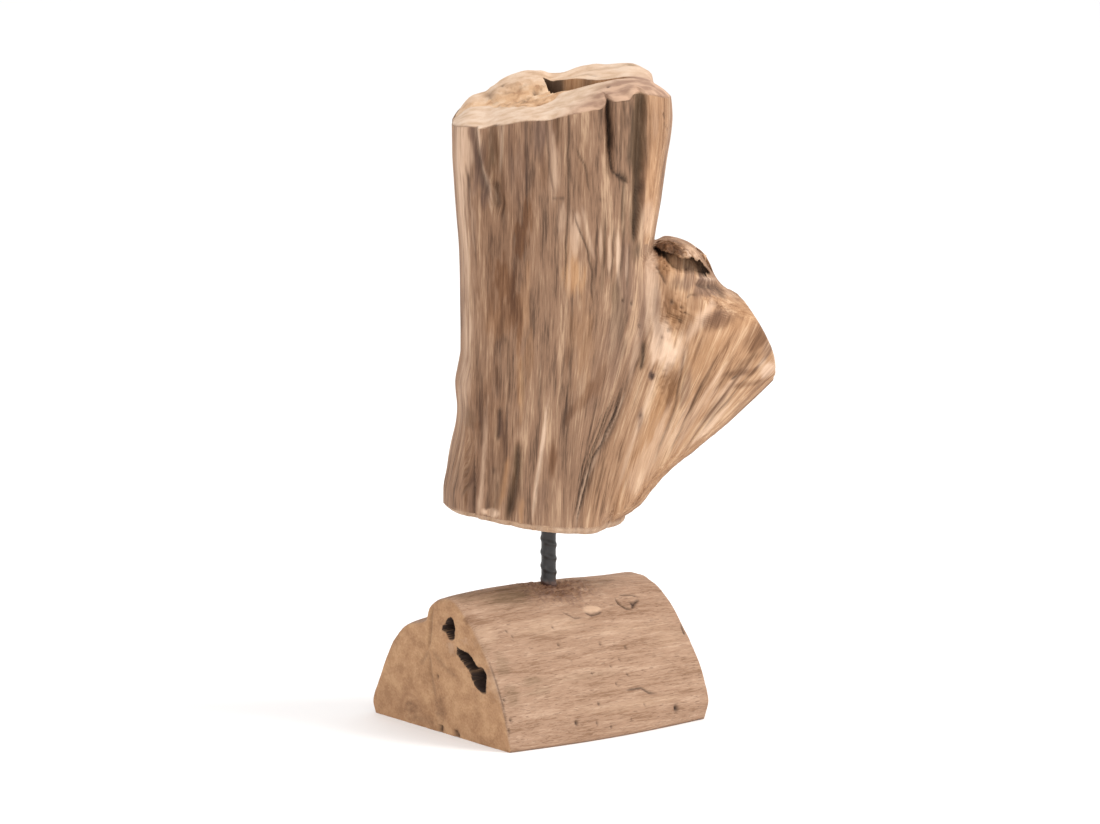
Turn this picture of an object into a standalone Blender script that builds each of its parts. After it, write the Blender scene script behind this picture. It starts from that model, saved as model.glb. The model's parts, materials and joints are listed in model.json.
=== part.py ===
"""Teak root sculpture: a sawn and sanded piece of teak root on a ribbed steel bar in a half-round teak log.

Units are metres and +Z is up. The origin is the middle of the log's flat underside, below the bar.
+X runs along the grain of the log. The root is turned on the bar, so its own x runs across its broad
side towards the limb, and its own y from that broad front to the back.
"""

import math

import bpy
import numpy as np

MM = 0.001

# Fits
GAP = 0.3 * MM
TINY = 1e-4

# Ribbed bar
BAR_CORE_RADIUS = 4.6 * MM
BAR_RIB_HEIGHT = 0.6 * MM
BAR_RIB_PITCH = 8.7 * MM
BAR_RIB_SHARE = 0.3
BAR_END_CHAMFER = 2 * MM
BAR_END_SHARE = 0.8
BAR_IN_BASE = 40 * MM
BAR_IN_ROOT = 48 * MM
BAR_SIDES = 12
BAR_ROWS_PER_PITCH = 5
BORE_SIDES = 20

# Base log
BASE_LEFT = -70 * MM
BASE_RIGHT = 75.5 * MM
BASE_NEAR = -62.7 * MM
BASE_LEFT_SKEW = 0.12
BASE_RIGHT_LEAN = 3 * MM
BASE_CROWN = 0.045
BASE_EDGE = 3 * MM
BASE_SQUARE_FOOT = 14 * MM
BASE_FOOT_SHARE = 0.25
BASE_FOOT_CHAMFER = 1.5 * MM
BASE_BULGE = 5 * MM
BASE_BULGE_TOP = 60 * MM
BASE_CREST = 81.5 * MM
ARCH_POINTS = 38
FOOT_POINTS = 7
SIDE_SLICES = 10
EDGE_ANGLES = (0, 30, 60)
CAP_SHARES = (0.3, 0.6, 0.85)
BASE_HEART = np.array([0, 34]) * MM

# Outline of the log's two sawn ends, as (across, up): near foot, over the crest, far foot
LEFT_END = np.array([
    (-62.7, 0), (-59.6, 11), (-56.8, 19.8), (-49.3, 37.1), (-39.8, 54), (-22.8, 74.2), (-4.4, 86),
    (8.3, 83), (15.2, 78), (18.5, 69.3), (37, 63), (45, 57), (53, 46.6), (65.5, 21.7),
    (71, 7.4), (68.5, 0),
]) * MM
RIGHT_END = np.array([
    (-62.7, 0), (-64.2, 9.7), (-62, 18.6), (-54, 34), (-42.5, 48.4), (-24, 66), (-8.4, 75.5),
    (8, 80.4), (21.2, 79.6), (32.3, 75), (42, 66.5), (48.5, 58), (55, 47), (62.5, 25),
    (68, 9), (67, 0),
]) * MM

# Dark cavities in the left end's upper near edge, as (across, up), half sizes and turn in that face
CAVITIES = (
    ((0.6, 66.6), (4.2, 7.5), 20),
    ((-15.8, 51.4), (7.5, 6.5), -40),
    ((-31.1, 37.9), (5.5, 6.5), 25),
)
CAVITY_DEPTH = 9 * MM
CAVITY_KNOBS = 0.12

# Root: the bottom, worn up at its left, and the tilted, wavy top
ROOT_BOTTOM = 127.5 * MM
BOTTOM_X = np.array([-64, -48, -37, -29, -15, 0, 30, 60]) * MM
BOTTOM_Z = np.array([136, 135.2, 133.8, 132, 129.2, 127, 124.2, 122]) * MM
ROOT_TURN = math.radians(-34.2)
TOP_X = np.array([-62, -48, -39, -27, -2, 10, 31, 50, 62, 70, 78]) * MM
TOP_Z = np.array([373, 379, 381, 384.5, 389.5, 392.5, 396.5, 398, 396, 392, 388]) * MM
TOP_TILT = 0.13
ROOT_BOTTOM_EDGE = 5 * MM
ROOT_TOP_EDGE = 2.5 * MM
FAN_LOW = 152 * MM
FAN_HIGH = 322 * MM

# Root: side outlines seen square on to the broad front, as heights and x
LEFT_Z = np.array([120, 128, 137, 148, 160, 172, 186, 200, 213, 235, 263, 294, 318, 338, 356, 385]) * MM
LEFT_X = np.array([
    -53, -59, -64.8, -64.8, -62.8, -60.2, -57.4, -56, -57, -53.6, -53.9, -54.4, -56, -57.2, -58.4, -58.4,
]) * MM
TRUNK_Z = np.array([120, 150, 180, 210, 240, 270, 297, 305, 318, 336, 355, 367, 380, 405]) * MM
TRUNK_X = np.array([36, 47, 54, 58, 60, 62, 63.8, 64.8, 67.5, 70, 72.3, 74, 75, 75]) * MM
LIMB_Z = np.array([
    114, 122, 129, 136, 148, 160, 173, 186, 199, 208, 214, 222, 232, 242, 250, 256, 262, 268, 274, 280,
    286, 293, 298.5, 302, 304,
]) * MM
LIMB_X = np.array([
    34, 43.5, 51, 57.5, 67, 78, 93.5, 109, 122.5, 132, 138, 146, 155, 160, 157, 147, 130, 116, 107, 102,
    99, 95, 88, 78, 62,
]) * MM

# Root: half depths, and the saw cut across the limb's end
TRUNK_DEPTH_FRONT = 48 * MM
TRUNK_DEPTH_BACK = 49 * MM
TRUNK_SQUARENESS = 2.9
LIMB_DEPTH = 41 * MM
LIMB_TAPER = 0.09
LIMB_TAPER_FROM = 40 * MM
LIMB_ROUND = 34 * MM
LIMB_SIDE_SLOPE = 0.72
LIMB_RIDGE_SLOPE = 0.8
LIMB_BORN_X = np.array([5, 50]) * MM
LIMB_BORN_OUT = 9 * MM
BLEND_SHARE = 0.35
RIDGE_X = np.array([20, 50, 64, 76, 84, 92, 99, 106, 113, 126, 150, 170]) * MM
RIDGE_Z = np.array([318, 307, 304, 304, 302, 296, 286, 277, 270, 263, 252, 236]) * MM
CROTCH = (62 * MM, 302 * MM)
CROTCH_REACH = 8 * MM
CUT_NORMAL = np.array([0.893, 0.302, 0.333])
CUT_DISTANCE = 193.5 * MM
CUT_MIDDLE = np.array([126, 0, 236]) * MM
CUT_REACH = 70 * MM

# Root: furrows of the front, each as heights, x, half width, depth and how fast its ends fade
FURROWS = {
    "right channel": ((292, 306, 321, 343, 367, 400), (62.5, 58.6, 54.3, 53, 53.5, 53.4), 5, 7, 12),
    "slot": ((350, 363, 400), (37, 36.5, 36.4), 3, 5, 10),
    "left gouge": ((330, 346, 361, 400), (-28.8, -31.2, -33, -35.5), 5.5, 5.5, 14),
    "crease": (
        (120, 144, 174, 192, 216, 233, 252, 277, 300),
        (16, 19.3, 28.4, 36.9, 46, 52, 58.6, 61.5, 64.5), 6, 4.5, 10,
    ),
    "lower left": ((128, 165, 192), (-46.9, -48, -48), 3.6, 3.2, 12),
    "lower middle": ((126, 160, 186), (-19.3, -19.2, -19.2), 3, 3, 14),
}

# Root: shallow hollows of the front, as (x, z), half sizes and depth
DISHES = (
    ((84, 262), (15, 20), 4),
    ((-8, 300), (16, 60), 1.5),
    ((112, 243), (11, 16), 1.5),
)

# Root: natural flutes of the unseen back, as width, depth and phase, and how they lean as they rise
FLUTES = ((46, 1.9, 0.4), (24, 1.1, 2.1), (15, 0.6, 4.0))
FLUTE_LEAN = 0.06
FLUTES_END = 145 * MM
FLUTES_FADE = 25 * MM
FOOT_FADE = 14 * MM

# Root: outline of the pocket in the top, and the raised lobe at the back left
POCKET = np.array([
    (-5, 11), (-1, 1), (16, -4), (31, -8), (45, -11), (55, -11), (45, -2), (31, 10), (19, 20), (8, 24),
    (-3, 22),
]) * MM
POCKET_DEPTH = 22 * MM
POCKET_RINGS = ((0.72, 1), (0.9, 0.6), (1, 0), (1.1, -1))
LOBE_PLACE = np.array([-16, 34]) * MM
LOBE_SIZE = np.array([21, 19]) * MM
LOBE_HEIGHT = 8 * MM

# Root: the low ridge along the top's back, and the step down right of it, from where each starts to where
# it is full
BACK_RIDGE_X = np.array([10, 45]) * MM
BACK_RIDGE_Y = np.array([14, 30]) * MM
BACK_RIDGE_HEIGHT = 3.2 * MM
STEP_X = np.array([61.5, 65]) * MM
STEP_Y = np.array([-4, 10]) * MM
STEP_DROP = 8 * MM

# Root: hollow under the crust on top of the limb, as points along it
HOLLOW_POINTS = np.array([(72, -24, 291), (79, -26, 288), (88, -25, 286), (97, -20, 283)]) * MM
HOLLOW_RADIUS = 4.6 * MM
HOLLOW_STRETCH = 3
HOLLOW_SLICES = 9
HOLLOW_SIDES = 10

# Grid of the root
FRONT_COLUMNS = 50
BACK_COLUMNS = 28
LOW_SHARES = (0.12, 0.45, 0.8)
LEVELS = np.linspace(FAN_LOW, 290 * MM, 18)
CROTCH_LEVELS = np.array([295, 299, 301.5, 303.2, 304.5, 312]) * MM
HIGH_SHARES = (*np.arange(10) / 10, 0.975)
FAN_TURNS = 5
BOTTOM_RINGS = (0.35, 0.7)
BOTTOM_ANGLES = (0, 35, 65)
TOP_ANGLES = (40, 90)
TOP_RINGS = (0.88, 0.7, 0.5, 0.25)
BOTTOM_HEART = np.array([-5, 0, 0]) * MM
TOP_HEART = np.array([10, 0, 0]) * MM


def through(knots, values, t):
    """Smooth curve through the knots: cubic pieces whose slopes never overshoot."""
    steps = np.diff(knots)
    rates = np.diff(values) / steps
    before, after = rates[:-1], rates[1:]
    same_way = before * after > 0
    total = np.where(same_way, before + after, 1)
    inner = np.where(same_way, 2 * before * after / total, 0)
    slopes = np.concatenate([rates[:1], inner, rates[-1:]])
    t = np.clip(t, knots[0], knots[-1])
    i = np.clip(np.searchsorted(knots, t, side="right") - 1, 0, len(steps) - 1)
    h = steps[i]
    s = (t - knots[i]) / h
    left = values[i] * (1 + 2 * s) * (1 - s) ** 2 + slopes[i] * h * s * (1 - s) ** 2
    right = values[i + 1] * s**2 * (3 - 2 * s) + slopes[i + 1] * h * s**2 * (s - 1)
    return left + right


def ramp(low, high, t):
    """0 below low, 1 above high, and a smooth step between them."""
    s = np.clip((t - low) / (high - low), 0, 1)
    return s * s * (3 - 2 * s)


def material(name, colour, roughness, metallic=0.0):
    made = bpy.data.materials.new(name)
    made.use_nodes = True
    shader = made.node_tree.nodes["Principled BSDF"]
    shader.inputs["Base Color"].default_value = (*colour, 1)
    shader.inputs["Roughness"].default_value = roughness
    shader.inputs["Metallic"].default_value = metallic
    made.diffuse_color = (*colour, 1)
    return made


def solid_of_rows(name, rows, first_pole, last_pole, finish):
    """Closed mesh of rows that each run once round, with a fan to a pole at each end."""
    count, around = rows.shape[:2]
    points = np.concatenate([rows.reshape(-1, 3), [first_pole, last_pole]])
    place = np.arange(count * around).reshape(count, around)
    beside = np.roll(place, -1, axis=1)
    quads = np.stack([place[:-1], beside[:-1], beside[1:], place[1:]], axis=-1).reshape(-1, 4)
    low_fan = np.stack([np.full(around, len(points) - 2), beside[0], place[0]], axis=-1)
    high_fan = np.stack([np.full(around, len(points) - 1), place[-1], beside[-1]], axis=-1)
    mesh = bpy.data.meshes.new(name)
    mesh.from_pydata(points.tolist(), [], quads.tolist() + low_fan.tolist() + high_fan.tolist())
    mesh.shade_smooth()
    mesh.set_sharp_from_angle(angle=math.radians(40))
    mesh.materials.append(finish)
    made = bpy.data.objects.new(name, mesh)
    bpy.context.collection.objects.link(made)
    return made


def cut_away(target, cutter):
    cutter.hide_render = True
    cutter.display_type = "WIRE"
    cut = target.modifiers.new("Cut " + cutter.name, "BOOLEAN")
    cut.operation = "DIFFERENCE"
    cut.solver = "EXACT"
    cut.object = cutter


def normals_of(rows):
    """Outward unit normals of rows that run anticlockwise seen from above, lowest row first."""
    along = np.gradient(rows, axis=0)
    around = (np.roll(rows, -1, axis=1) - np.roll(rows, 1, axis=1)) / 2
    out = np.cross(around, along)
    return out / np.maximum(np.linalg.norm(out, axis=-1, keepdims=True), 1e-12)


def bar_bottom():
    return BASE_CREST - BAR_IN_BASE


def bar_top():
    return ROOT_BOTTOM + BAR_IN_ROOT


def ribbed_bar():
    """Round bar with slanting ribs on two sides, raised from its surface by a wave along a helix."""
    length = bar_top() - bar_bottom()
    count = round(length / BAR_RIB_PITCH * BAR_ROWS_PER_PITCH)
    z = np.linspace(bar_bottom(), bar_top(), count)[:, None]
    turn = np.linspace(0, 2 * math.pi, BAR_SIDES, endpoint=False)[None, :]
    phase = (z / BAR_RIB_PITCH + turn / (2 * math.pi)) % 1
    rib = np.clip(1 - np.abs(phase - 0.5) / BAR_RIB_SHARE, 0, 1)
    from_end = ramp(0, BAR_END_CHAMFER, np.minimum(z - bar_bottom(), bar_top() - z))
    ribbed = BAR_CORE_RADIUS + BAR_RIB_HEIGHT * ramp(0, 1, rib)
    radius = ribbed * (BAR_END_SHARE + (1 - BAR_END_SHARE) * from_end)
    rows = np.stack([radius * np.cos(turn), radius * np.sin(turn), z + 0 * turn], axis=-1)
    paint = material("Black paint", (0.05, 0.047, 0.05), 0.5)
    return solid_of_rows("steel_rod", rows, (0, 0, bar_bottom()), (0, 0, bar_top()), paint)


def bore_cutter(name, low, high):
    """Straight drill for a blind bore, wide enough for the ribs and the gap round them."""
    radius = (BAR_CORE_RADIUS + BAR_RIB_HEIGHT + GAP) / math.cos(math.pi / BORE_SIDES)
    turn = np.linspace(0, 2 * math.pi, BORE_SIDES, endpoint=False)
    ring = radius * np.stack([np.cos(turn), np.sin(turn)], axis=-1)
    rows = np.array([np.column_stack([ring, np.full(BORE_SIDES, z)]) for z in (low, high)])
    return solid_of_rows(name, rows, (0, 0, low), (0, 0, high), None)


def log_outline(outline, samples):
    """Closed outline of a sawn end: a smooth arch through its points and a chamfered flat foot."""
    steps = np.linalg.norm(np.diff(outline, axis=0), axis=1)
    at = np.concatenate([[0], np.cumsum(steps)])
    t = np.linspace(0, at[-1], samples)
    arch = np.stack([through(at, outline[:, 0], t), through(at, outline[:, 1], t)], axis=-1)
    arch[0, 1] = arch[-1, 1] = BASE_FOOT_CHAMFER
    flat = np.linspace(outline[-1, 0] - BASE_FOOT_CHAMFER, outline[0, 0] + BASE_FOOT_CHAMFER, FOOT_POINTS)
    foot = np.stack([flat, np.zeros(FOOT_POINTS)], axis=-1)
    return np.concatenate([arch, foot])[::-1]


def inset(outline, distance):
    """Closed outline moved in by a distance, towards the log's heart, but hardly at its square foot."""
    to_heart = BASE_HEART - outline
    share = BASE_FOOT_SHARE + (1 - BASE_FOOT_SHARE) * ramp(0, BASE_SQUARE_FOOT, outline[:, 1:])
    moved = outline + to_heart / np.linalg.norm(to_heart, axis=1, keepdims=True) * distance * share
    return np.where(outline[:, 1:] > 0, moved, outline * (1, 0))


def base_slices():
    """The log from its left end to its right: cap, rounded edge, side, rounded edge, cap, as (x, outline)."""
    left, right = log_outline(LEFT_END, ARCH_POINTS), log_outline(RIGHT_END, ARCH_POINTS)
    length = BASE_RIGHT - BASE_LEFT
    left_cap = inset(left, BASE_EDGE) - BASE_HEART
    right_cap = inset(right, BASE_EDGE) - BASE_HEART
    edge = [(BASE_EDGE * (1 - math.cos(a)), BASE_EDGE * (1 - math.sin(a))) for a in np.radians(EDGE_ANGLES)]
    side = []
    for share in np.linspace(0, 1, SIDE_SLICES):
        outline = left + (right - left) * share
        swell = BASE_BULGE * math.sin(math.pi * share)
        lower = ramp(0, BASE_BULGE_TOP, BASE_BULGE_TOP - outline[:, 1]) * (outline[:, 0] < 0)
        outline = outline - np.stack([swell * lower, 0 * lower], axis=-1)
        outline = outline * (1, 1 + BASE_CROWN * math.sin(math.pi * share))
        side.append((BASE_EDGE + share * (length - 2 * BASE_EDGE), outline))
    return (
        [(0, BASE_HEART + left_cap * share) for share in CAP_SHARES]
        + [(along, inset(left, inwards)) for along, inwards in edge]
        + side
        + [(length - along, inset(right, inwards)) for along, inwards in edge[::-1]]
        + [(length, BASE_HEART + right_cap * share) for share in CAP_SHARES[::-1]]
    )


def base_rows():
    """The log's slices in place, the left end skewed and the right end leaning out."""
    length = BASE_RIGHT - BASE_LEFT
    rows = []
    for x, outline in base_slices():
        skew = -BASE_LEFT_SKEW * (outline[:, 0] - BASE_NEAR) * (1 - x / length)
        lean = BASE_RIGHT_LEAN * ramp(0, BASE_SQUARE_FOOT, outline[:, 1]) * x / length
        up = np.maximum(outline[:, 1], 0)
        rows.append(np.column_stack([BASE_LEFT + x + skew + lean, outline[:, 0], up]))
    return np.array(rows)


def base_log():
    rows = base_rows()
    wood = material("Sawn teak log", (0.55, 0.34, 0.19), 0.75)
    log = solid_of_rows("base_block", rows, rows[0].mean(axis=0), rows[-1].mean(axis=0), wood)
    cut_away(log, bore_cutter("base_bore", bar_bottom() - GAP, BASE_CREST + 20 * MM))
    for number, (place, half, turn) in enumerate(CAVITIES, start=1):
        cut_away(log, cavity_cutter(f"cavity_{number}", place, half, turn))
    return log


def cavity_cutter(name, place, half, turn):
    """Knobbly egg sunk into the left end, its long side turned in the plane of that face."""
    up = np.linspace(-math.pi / 2, math.pi / 2, 9)[1:-1, None]
    around = np.linspace(0, 2 * math.pi, 12, endpoint=False)[None, :]
    knobbly = 1 + CAVITY_KNOBS * np.sin(3 * around + 2 * up)
    egg = np.stack([
        CAVITY_DEPTH * np.sin(up) + 0 * around,
        half[0] * MM * np.cos(up) * np.cos(around) * knobbly,
        half[1] * MM * np.cos(up) * np.sin(around) * knobbly,
    ], axis=-1)
    cos, sin = math.cos(math.radians(turn)), math.sin(math.radians(turn))
    across = egg[..., 1] * cos - egg[..., 2] * sin + place[0] * MM
    height = egg[..., 1] * sin + egg[..., 2] * cos + place[1] * MM
    end = BASE_LEFT - BASE_LEFT_SKEW * (place[0] * MM - BASE_NEAR)
    rows = np.stack([egg[..., 0] + end, across, height], axis=-1)
    low_pole = (end - CAVITY_DEPTH, *rows[0, :, 1:].mean(axis=0))
    high_pole = (end + CAVITY_DEPTH, *rows[-1, :, 1:].mean(axis=0))
    return solid_of_rows(name, rows, low_pole, high_pole, None)


def root_bottom(x):
    """Height of the sawn bottom."""
    return through(BOTTOM_X, BOTTOM_Z, x)


def root_top(x, y):
    """Height of the sawn top before its pocket and lobe."""
    return through(TOP_X, TOP_Z, x) + TOP_TILT * y


def root_edges(z):
    """Left edge, the trunk's right edge and the limb's right edge, at a height."""
    limb = np.where(z < LIMB_Z[-1], through(LIMB_Z, LIMB_X, z), 0)
    return through(LEFT_Z, LEFT_X, z), through(TRUNK_Z, TRUNK_X, z), limb


def root_half_depth(x, z, trunk_depth):
    """Half depth over the front's plane: a squarish oval trunk, blended with the rounded limb."""
    left, trunk, limb = root_edges(z)
    across = np.clip(np.abs(2 * x - left - trunk) / (trunk - left), 0, 1)
    stem = trunk_depth * (1 - across**TRUNK_SQUARENESS) ** (1 / TRUNK_SQUARENESS)
    from_side = np.clip(LIMB_SIDE_SLOPE * (limb - x) / LIMB_ROUND, TINY, 1)
    from_ridge = np.clip(LIMB_RIDGE_SLOPE * (through(RIDGE_X, RIDGE_Z, x) - z) / LIMB_ROUND, TINY, 1)
    inward = np.clip((from_side**-4.0 + from_ridge**-4.0) ** -0.25, 0, 1)
    born = ramp(*LIMB_BORN_X, x) * ramp(0, LIMB_BORN_OUT, limb - trunk)
    tapered = LIMB_DEPTH - LIMB_TAPER * np.maximum(x - LIMB_TAPER_FROM, 0)
    side = tapered * np.sqrt(1 - (1 - inward) ** 2) * born
    reach = BLEND_SHARE * np.minimum(stem, side) + TINY * MM
    return np.maximum(stem, side) + np.maximum(reach - np.abs(stem - side), 0) ** 2 / (4 * reach)


def furrow_depth(x, z):
    """How far the front's furrows and dishes lie below its smooth surface."""
    depth = np.zeros_like(x)
    for heights, across, width, deep, fade in FURROWS.values():
        heights, across = np.array(heights) * MM, np.array(across) * MM
        line = through(heights, across, z)
        ends = ramp(-fade * MM, 0, z - heights[0]) * ramp(-fade * MM, 0, heights[-1] - z)
        depth += deep * MM * ends * np.exp(-(((x - line) / (width * MM)) ** 2))
    for (cx, cz), (wx, wz), deep in DISHES:
        depth += deep * MM * np.exp(-(((x / MM - cx) / wx) ** 2) - ((z / MM - cz) / wz) ** 2)
    return depth


def top_relief(x, y):
    """Height to add to the sawn top: the lobe and the low back ridge, less the step right of the ridge."""
    across = (x - LOBE_PLACE[0]) / LOBE_SIZE[0]
    away = (y - LOBE_PLACE[1]) / LOBE_SIZE[1]
    lobe = LOBE_HEIGHT * np.exp(-(across**4) - away**4)
    ridge = BACK_RIDGE_HEIGHT * ramp(*BACK_RIDGE_Y, y) * ramp(*BACK_RIDGE_X, x)
    step = STEP_DROP * ramp(*STEP_X, x) * ramp(*STEP_Y, y)
    return lobe + ridge - step


def pocket_cutter():
    """Tapered plug that leaves the pocket, its floor sloping as the top does."""
    middle = POCKET.mean(axis=0)
    rows = []
    for share, below in POCKET_RINGS:
        ring = middle + (POCKET - middle) * share
        rows.append(np.column_stack([ring, root_top(ring[:, 0], ring[:, 1]) - below * POCKET_DEPTH]))
    rows = np.array(rows)
    return solid_of_rows("top_pocket", rows, rows[0].mean(axis=0), rows[-1].mean(axis=0), None)


def root_heights():
    """Levels of the root's rows: fanned to the sawn bottom, level by the limb, fanned to the top."""
    low = [("low", share) for share in LOW_SHARES]
    middle = [("level", z) for z in np.concatenate([LEVELS, CROTCH_LEVELS])]
    high = [("high", share) for share in HIGH_SHARES]
    return low + middle + high


def root_row(kind, value, along, side):
    """One row round the root. The fanned rows find their heights and edges by turns."""
    z = np.full_like(along, {"low": FAN_LOW, "level": value, "high": FAN_HIGH}[kind])
    for _ in range(FAN_TURNS):
        left, trunk, limb = root_edges(z)
        x = left + (np.maximum(trunk, limb) - left) * along
        depth = root_half_depth(x, z, np.where(side < 0, TRUNK_DEPTH_FRONT, TRUNK_DEPTH_BACK))
        y = side * depth
        if kind == "low":
            z = root_bottom(x) + (FAN_LOW - root_bottom(x)) * value
        if kind == "high":
            z = FAN_HIGH + (root_top(x, y) - FAN_HIGH) * value
    return np.stack([x, y, z], axis=-1)


def towards(row, centre, distance):
    """A row moved level towards a centre by a distance."""
    way = centre - row
    way[:, 2] = 0
    return row + way / np.linalg.norm(way, axis=1, keepdims=True) * distance


def saw_cutter():
    """Block whose near face is the saw cut across the limb's end."""
    normal = CUT_NORMAL / np.linalg.norm(CUT_NORMAL)
    level = np.cross((0, 0, 1), normal)
    level /= np.linalg.norm(level)
    rise = np.cross(normal, level)
    middle = CUT_MIDDLE + normal * (CUT_DISTANCE / np.linalg.norm(CUT_NORMAL) - CUT_MIDDLE @ normal)
    square = [(-1, -1), (1, -1), (1, 1), (-1, 1)]
    ring = np.array([middle + CUT_REACH * (a * level + b * rise) for a, b in square])
    rows = np.array([ring, ring + CUT_REACH * normal])
    return solid_of_rows("limb_saw_cut", rows, rows[0].mean(axis=0), rows[1].mean(axis=0), None)


def flute_height(x, z):
    """How far the back's flutes stand out: three waves that lean as they rise."""
    waves = [
        deep * MM * np.sin((x + FLUTE_LEAN * z) * math.tau / (width * MM) + phase)
        for width, deep, phase in FLUTES
    ]
    return sum(waves) * ramp(FLUTES_END, FLUTES_END - FLUTES_FADE, x)


def relief(body):
    """How far each point of the smooth body moves along its normal, fading out at the crotch and the foot."""
    out = normals_of(body)
    x, z = body[..., 0], body[..., 2]
    front = ramp(0.05, 0.5, -out[..., 1])
    back = ramp(-0.2, 0.3, out[..., 1])
    steady = 0.4 + 0.6 * ramp(0, FOOT_FADE, z - root_bottom(x))
    by_crotch = np.exp(-(((z - CROTCH[1]) / CROTCH_REACH) ** 2))
    by_crotch = by_crotch * ramp(CROTCH[0] - 2 * CROTCH_REACH, CROTCH[0] - CROTCH_REACH, x)
    height = flute_height(x, z) * back - furrow_depth(x, z) * front
    return out * (height * steady * (1 - by_crotch))[..., None]


def root_rows():
    """All rows of the root, from the middle of its bottom to the middle of its top, and the two poles."""
    front = np.linspace(0, math.pi, FRONT_COLUMNS, endpoint=False)
    back = np.linspace(math.pi, 2 * math.pi, BACK_COLUMNS, endpoint=False)
    turn = np.concatenate([front, back])
    along = (1 - np.cos(turn)) / 2
    side = np.where(turn < math.pi, -1.0, 1.0)
    body = np.array([root_row(kind, value, along, side) for kind, value in root_heights()])
    body = body + relief(body)

    foot, rim = body[0], body[-1]
    rows = []
    for share in BOTTOM_RINGS:
        ring = BOTTOM_HEART + (towards(foot, BOTTOM_HEART, ROOT_BOTTOM_EDGE) - BOTTOM_HEART) * share
        rows.append(on_bottom(ring, 0))
    for angle in np.radians(BOTTOM_ANGLES):
        ring = towards(foot, BOTTOM_HEART, ROOT_BOTTOM_EDGE * (1 - math.sin(angle)))
        rows.append(on_bottom(ring, ROOT_BOTTOM_EDGE * (1 - math.cos(angle))))
    rows.extend(body)
    for angle in np.radians(TOP_ANGLES):
        ring = towards(rim, TOP_HEART, ROOT_TOP_EDGE * (1 - math.cos(angle)))
        rows.append(on_top(ring, ROOT_TOP_EDGE * (1 - math.sin(angle))))
    for share in TOP_RINGS:
        ring = TOP_HEART + (towards(rim, TOP_HEART, ROOT_TOP_EDGE) - TOP_HEART) * share
        rows.append(on_top(ring, 0))
    poles = [on_bottom(BOTTOM_HEART[None], 0)[0], on_top(TOP_HEART[None], 0)[0]]
    return np.array(rows), poles


def on_bottom(ring, raised):
    return np.column_stack([ring[:, 0], ring[:, 1], root_bottom(ring[:, 0]) + raised])


def on_top(ring, lowered):
    x, y = ring[:, 0], ring[:, 1]
    return np.column_stack([x, y, root_top(x, y) + top_relief(x, y) - lowered])


def hollow_cutter():
    """Bent, rough tube that opens the front of the limb below its crust."""
    t = np.linspace(0, len(HOLLOW_POINTS) - 1, HOLLOW_SLICES)
    knots = np.arange(len(HOLLOW_POINTS), dtype=float)
    middle = np.stack([through(knots, HOLLOW_POINTS[:, axis], t) for axis in range(3)], axis=-1)
    turn = np.linspace(0, 2 * math.pi, HOLLOW_SIDES, endpoint=False)
    swell = np.sqrt(np.sin(np.linspace(0.3, math.pi - 0.3, HOLLOW_SLICES)))
    radius = HOLLOW_RADIUS * swell[:, None]
    deep = HOLLOW_STRETCH * radius * np.cos(turn)
    rows = np.stack([
        middle[:, :1] + 0 * turn,
        middle[:, 1:2] + deep,
        middle[:, 2:] + radius * np.sin(turn),
    ], axis=-1)
    return solid_of_rows("limb_hollow", rows, rows[0].mean(axis=0), rows[-1].mean(axis=0), None)


def root_piece():
    rows, poles = root_rows()
    wood = material("Sanded teak root", (0.5, 0.32, 0.2), 0.7)
    root = solid_of_rows("root_block", rows, poles[0], poles[1], wood)
    root.rotation_euler = (0, 0, ROOT_TURN)
    cut_away(root, bore_cutter("root_bore", ROOT_BOTTOM - 20 * MM, bar_top() + GAP))
    for cutter in (saw_cutter(), hollow_cutter(), pocket_cutter()):
        cutter.rotation_euler = (0, 0, ROOT_TURN)
        cut_away(root, cutter)
    return root


for old in list(bpy.data.objects):
    bpy.data.objects.remove(old)

base_log()
ribbed_bar()
root_piece()
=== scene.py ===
# %% [markdown]
# # Teak root sculpture
# A piece of teak root stands on a ribbed steel bar, and the bar is driven into a half-round teak log. The
# root was sawn across at its top, its bottom and the end of its limb, and sanded all over. This notebook
# builds how it looks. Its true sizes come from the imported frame, which this scene reads first, and each
# piece of wood here takes the place of the plain solid that the frame has for it.

# %% Load the frame and keep its box
import json
import math

import bpy
import numpy as np
from mathutils import Euler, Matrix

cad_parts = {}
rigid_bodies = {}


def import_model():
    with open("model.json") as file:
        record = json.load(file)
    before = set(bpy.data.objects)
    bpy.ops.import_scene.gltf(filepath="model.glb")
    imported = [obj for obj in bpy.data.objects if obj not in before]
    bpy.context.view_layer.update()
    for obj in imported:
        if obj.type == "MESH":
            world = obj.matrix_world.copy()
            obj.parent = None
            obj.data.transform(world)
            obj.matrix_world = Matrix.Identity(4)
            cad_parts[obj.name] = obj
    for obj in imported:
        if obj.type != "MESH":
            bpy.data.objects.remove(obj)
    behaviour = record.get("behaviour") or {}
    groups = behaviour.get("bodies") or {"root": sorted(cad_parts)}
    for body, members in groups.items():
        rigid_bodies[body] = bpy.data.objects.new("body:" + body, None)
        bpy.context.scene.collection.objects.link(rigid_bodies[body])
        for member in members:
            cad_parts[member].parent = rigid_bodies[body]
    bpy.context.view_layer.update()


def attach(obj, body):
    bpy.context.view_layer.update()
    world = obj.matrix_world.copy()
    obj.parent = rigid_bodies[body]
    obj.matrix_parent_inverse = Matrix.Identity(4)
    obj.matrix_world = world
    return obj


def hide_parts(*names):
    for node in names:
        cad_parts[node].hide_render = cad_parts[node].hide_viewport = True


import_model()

# %% [markdown]
# ## The camera
# The object was photographed from 3 m away with a long lens, a little from above. A long lens hardly
# narrows what is farther off, so the log's sides stay nearly parallel. A camera could be aimed with a
# constraint, but its place and turn are fixed numbers here, because they were fitted to the log's corners.
# The frame's X runs along the log, which stands turned by 34.2 degrees to the camera.

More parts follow.
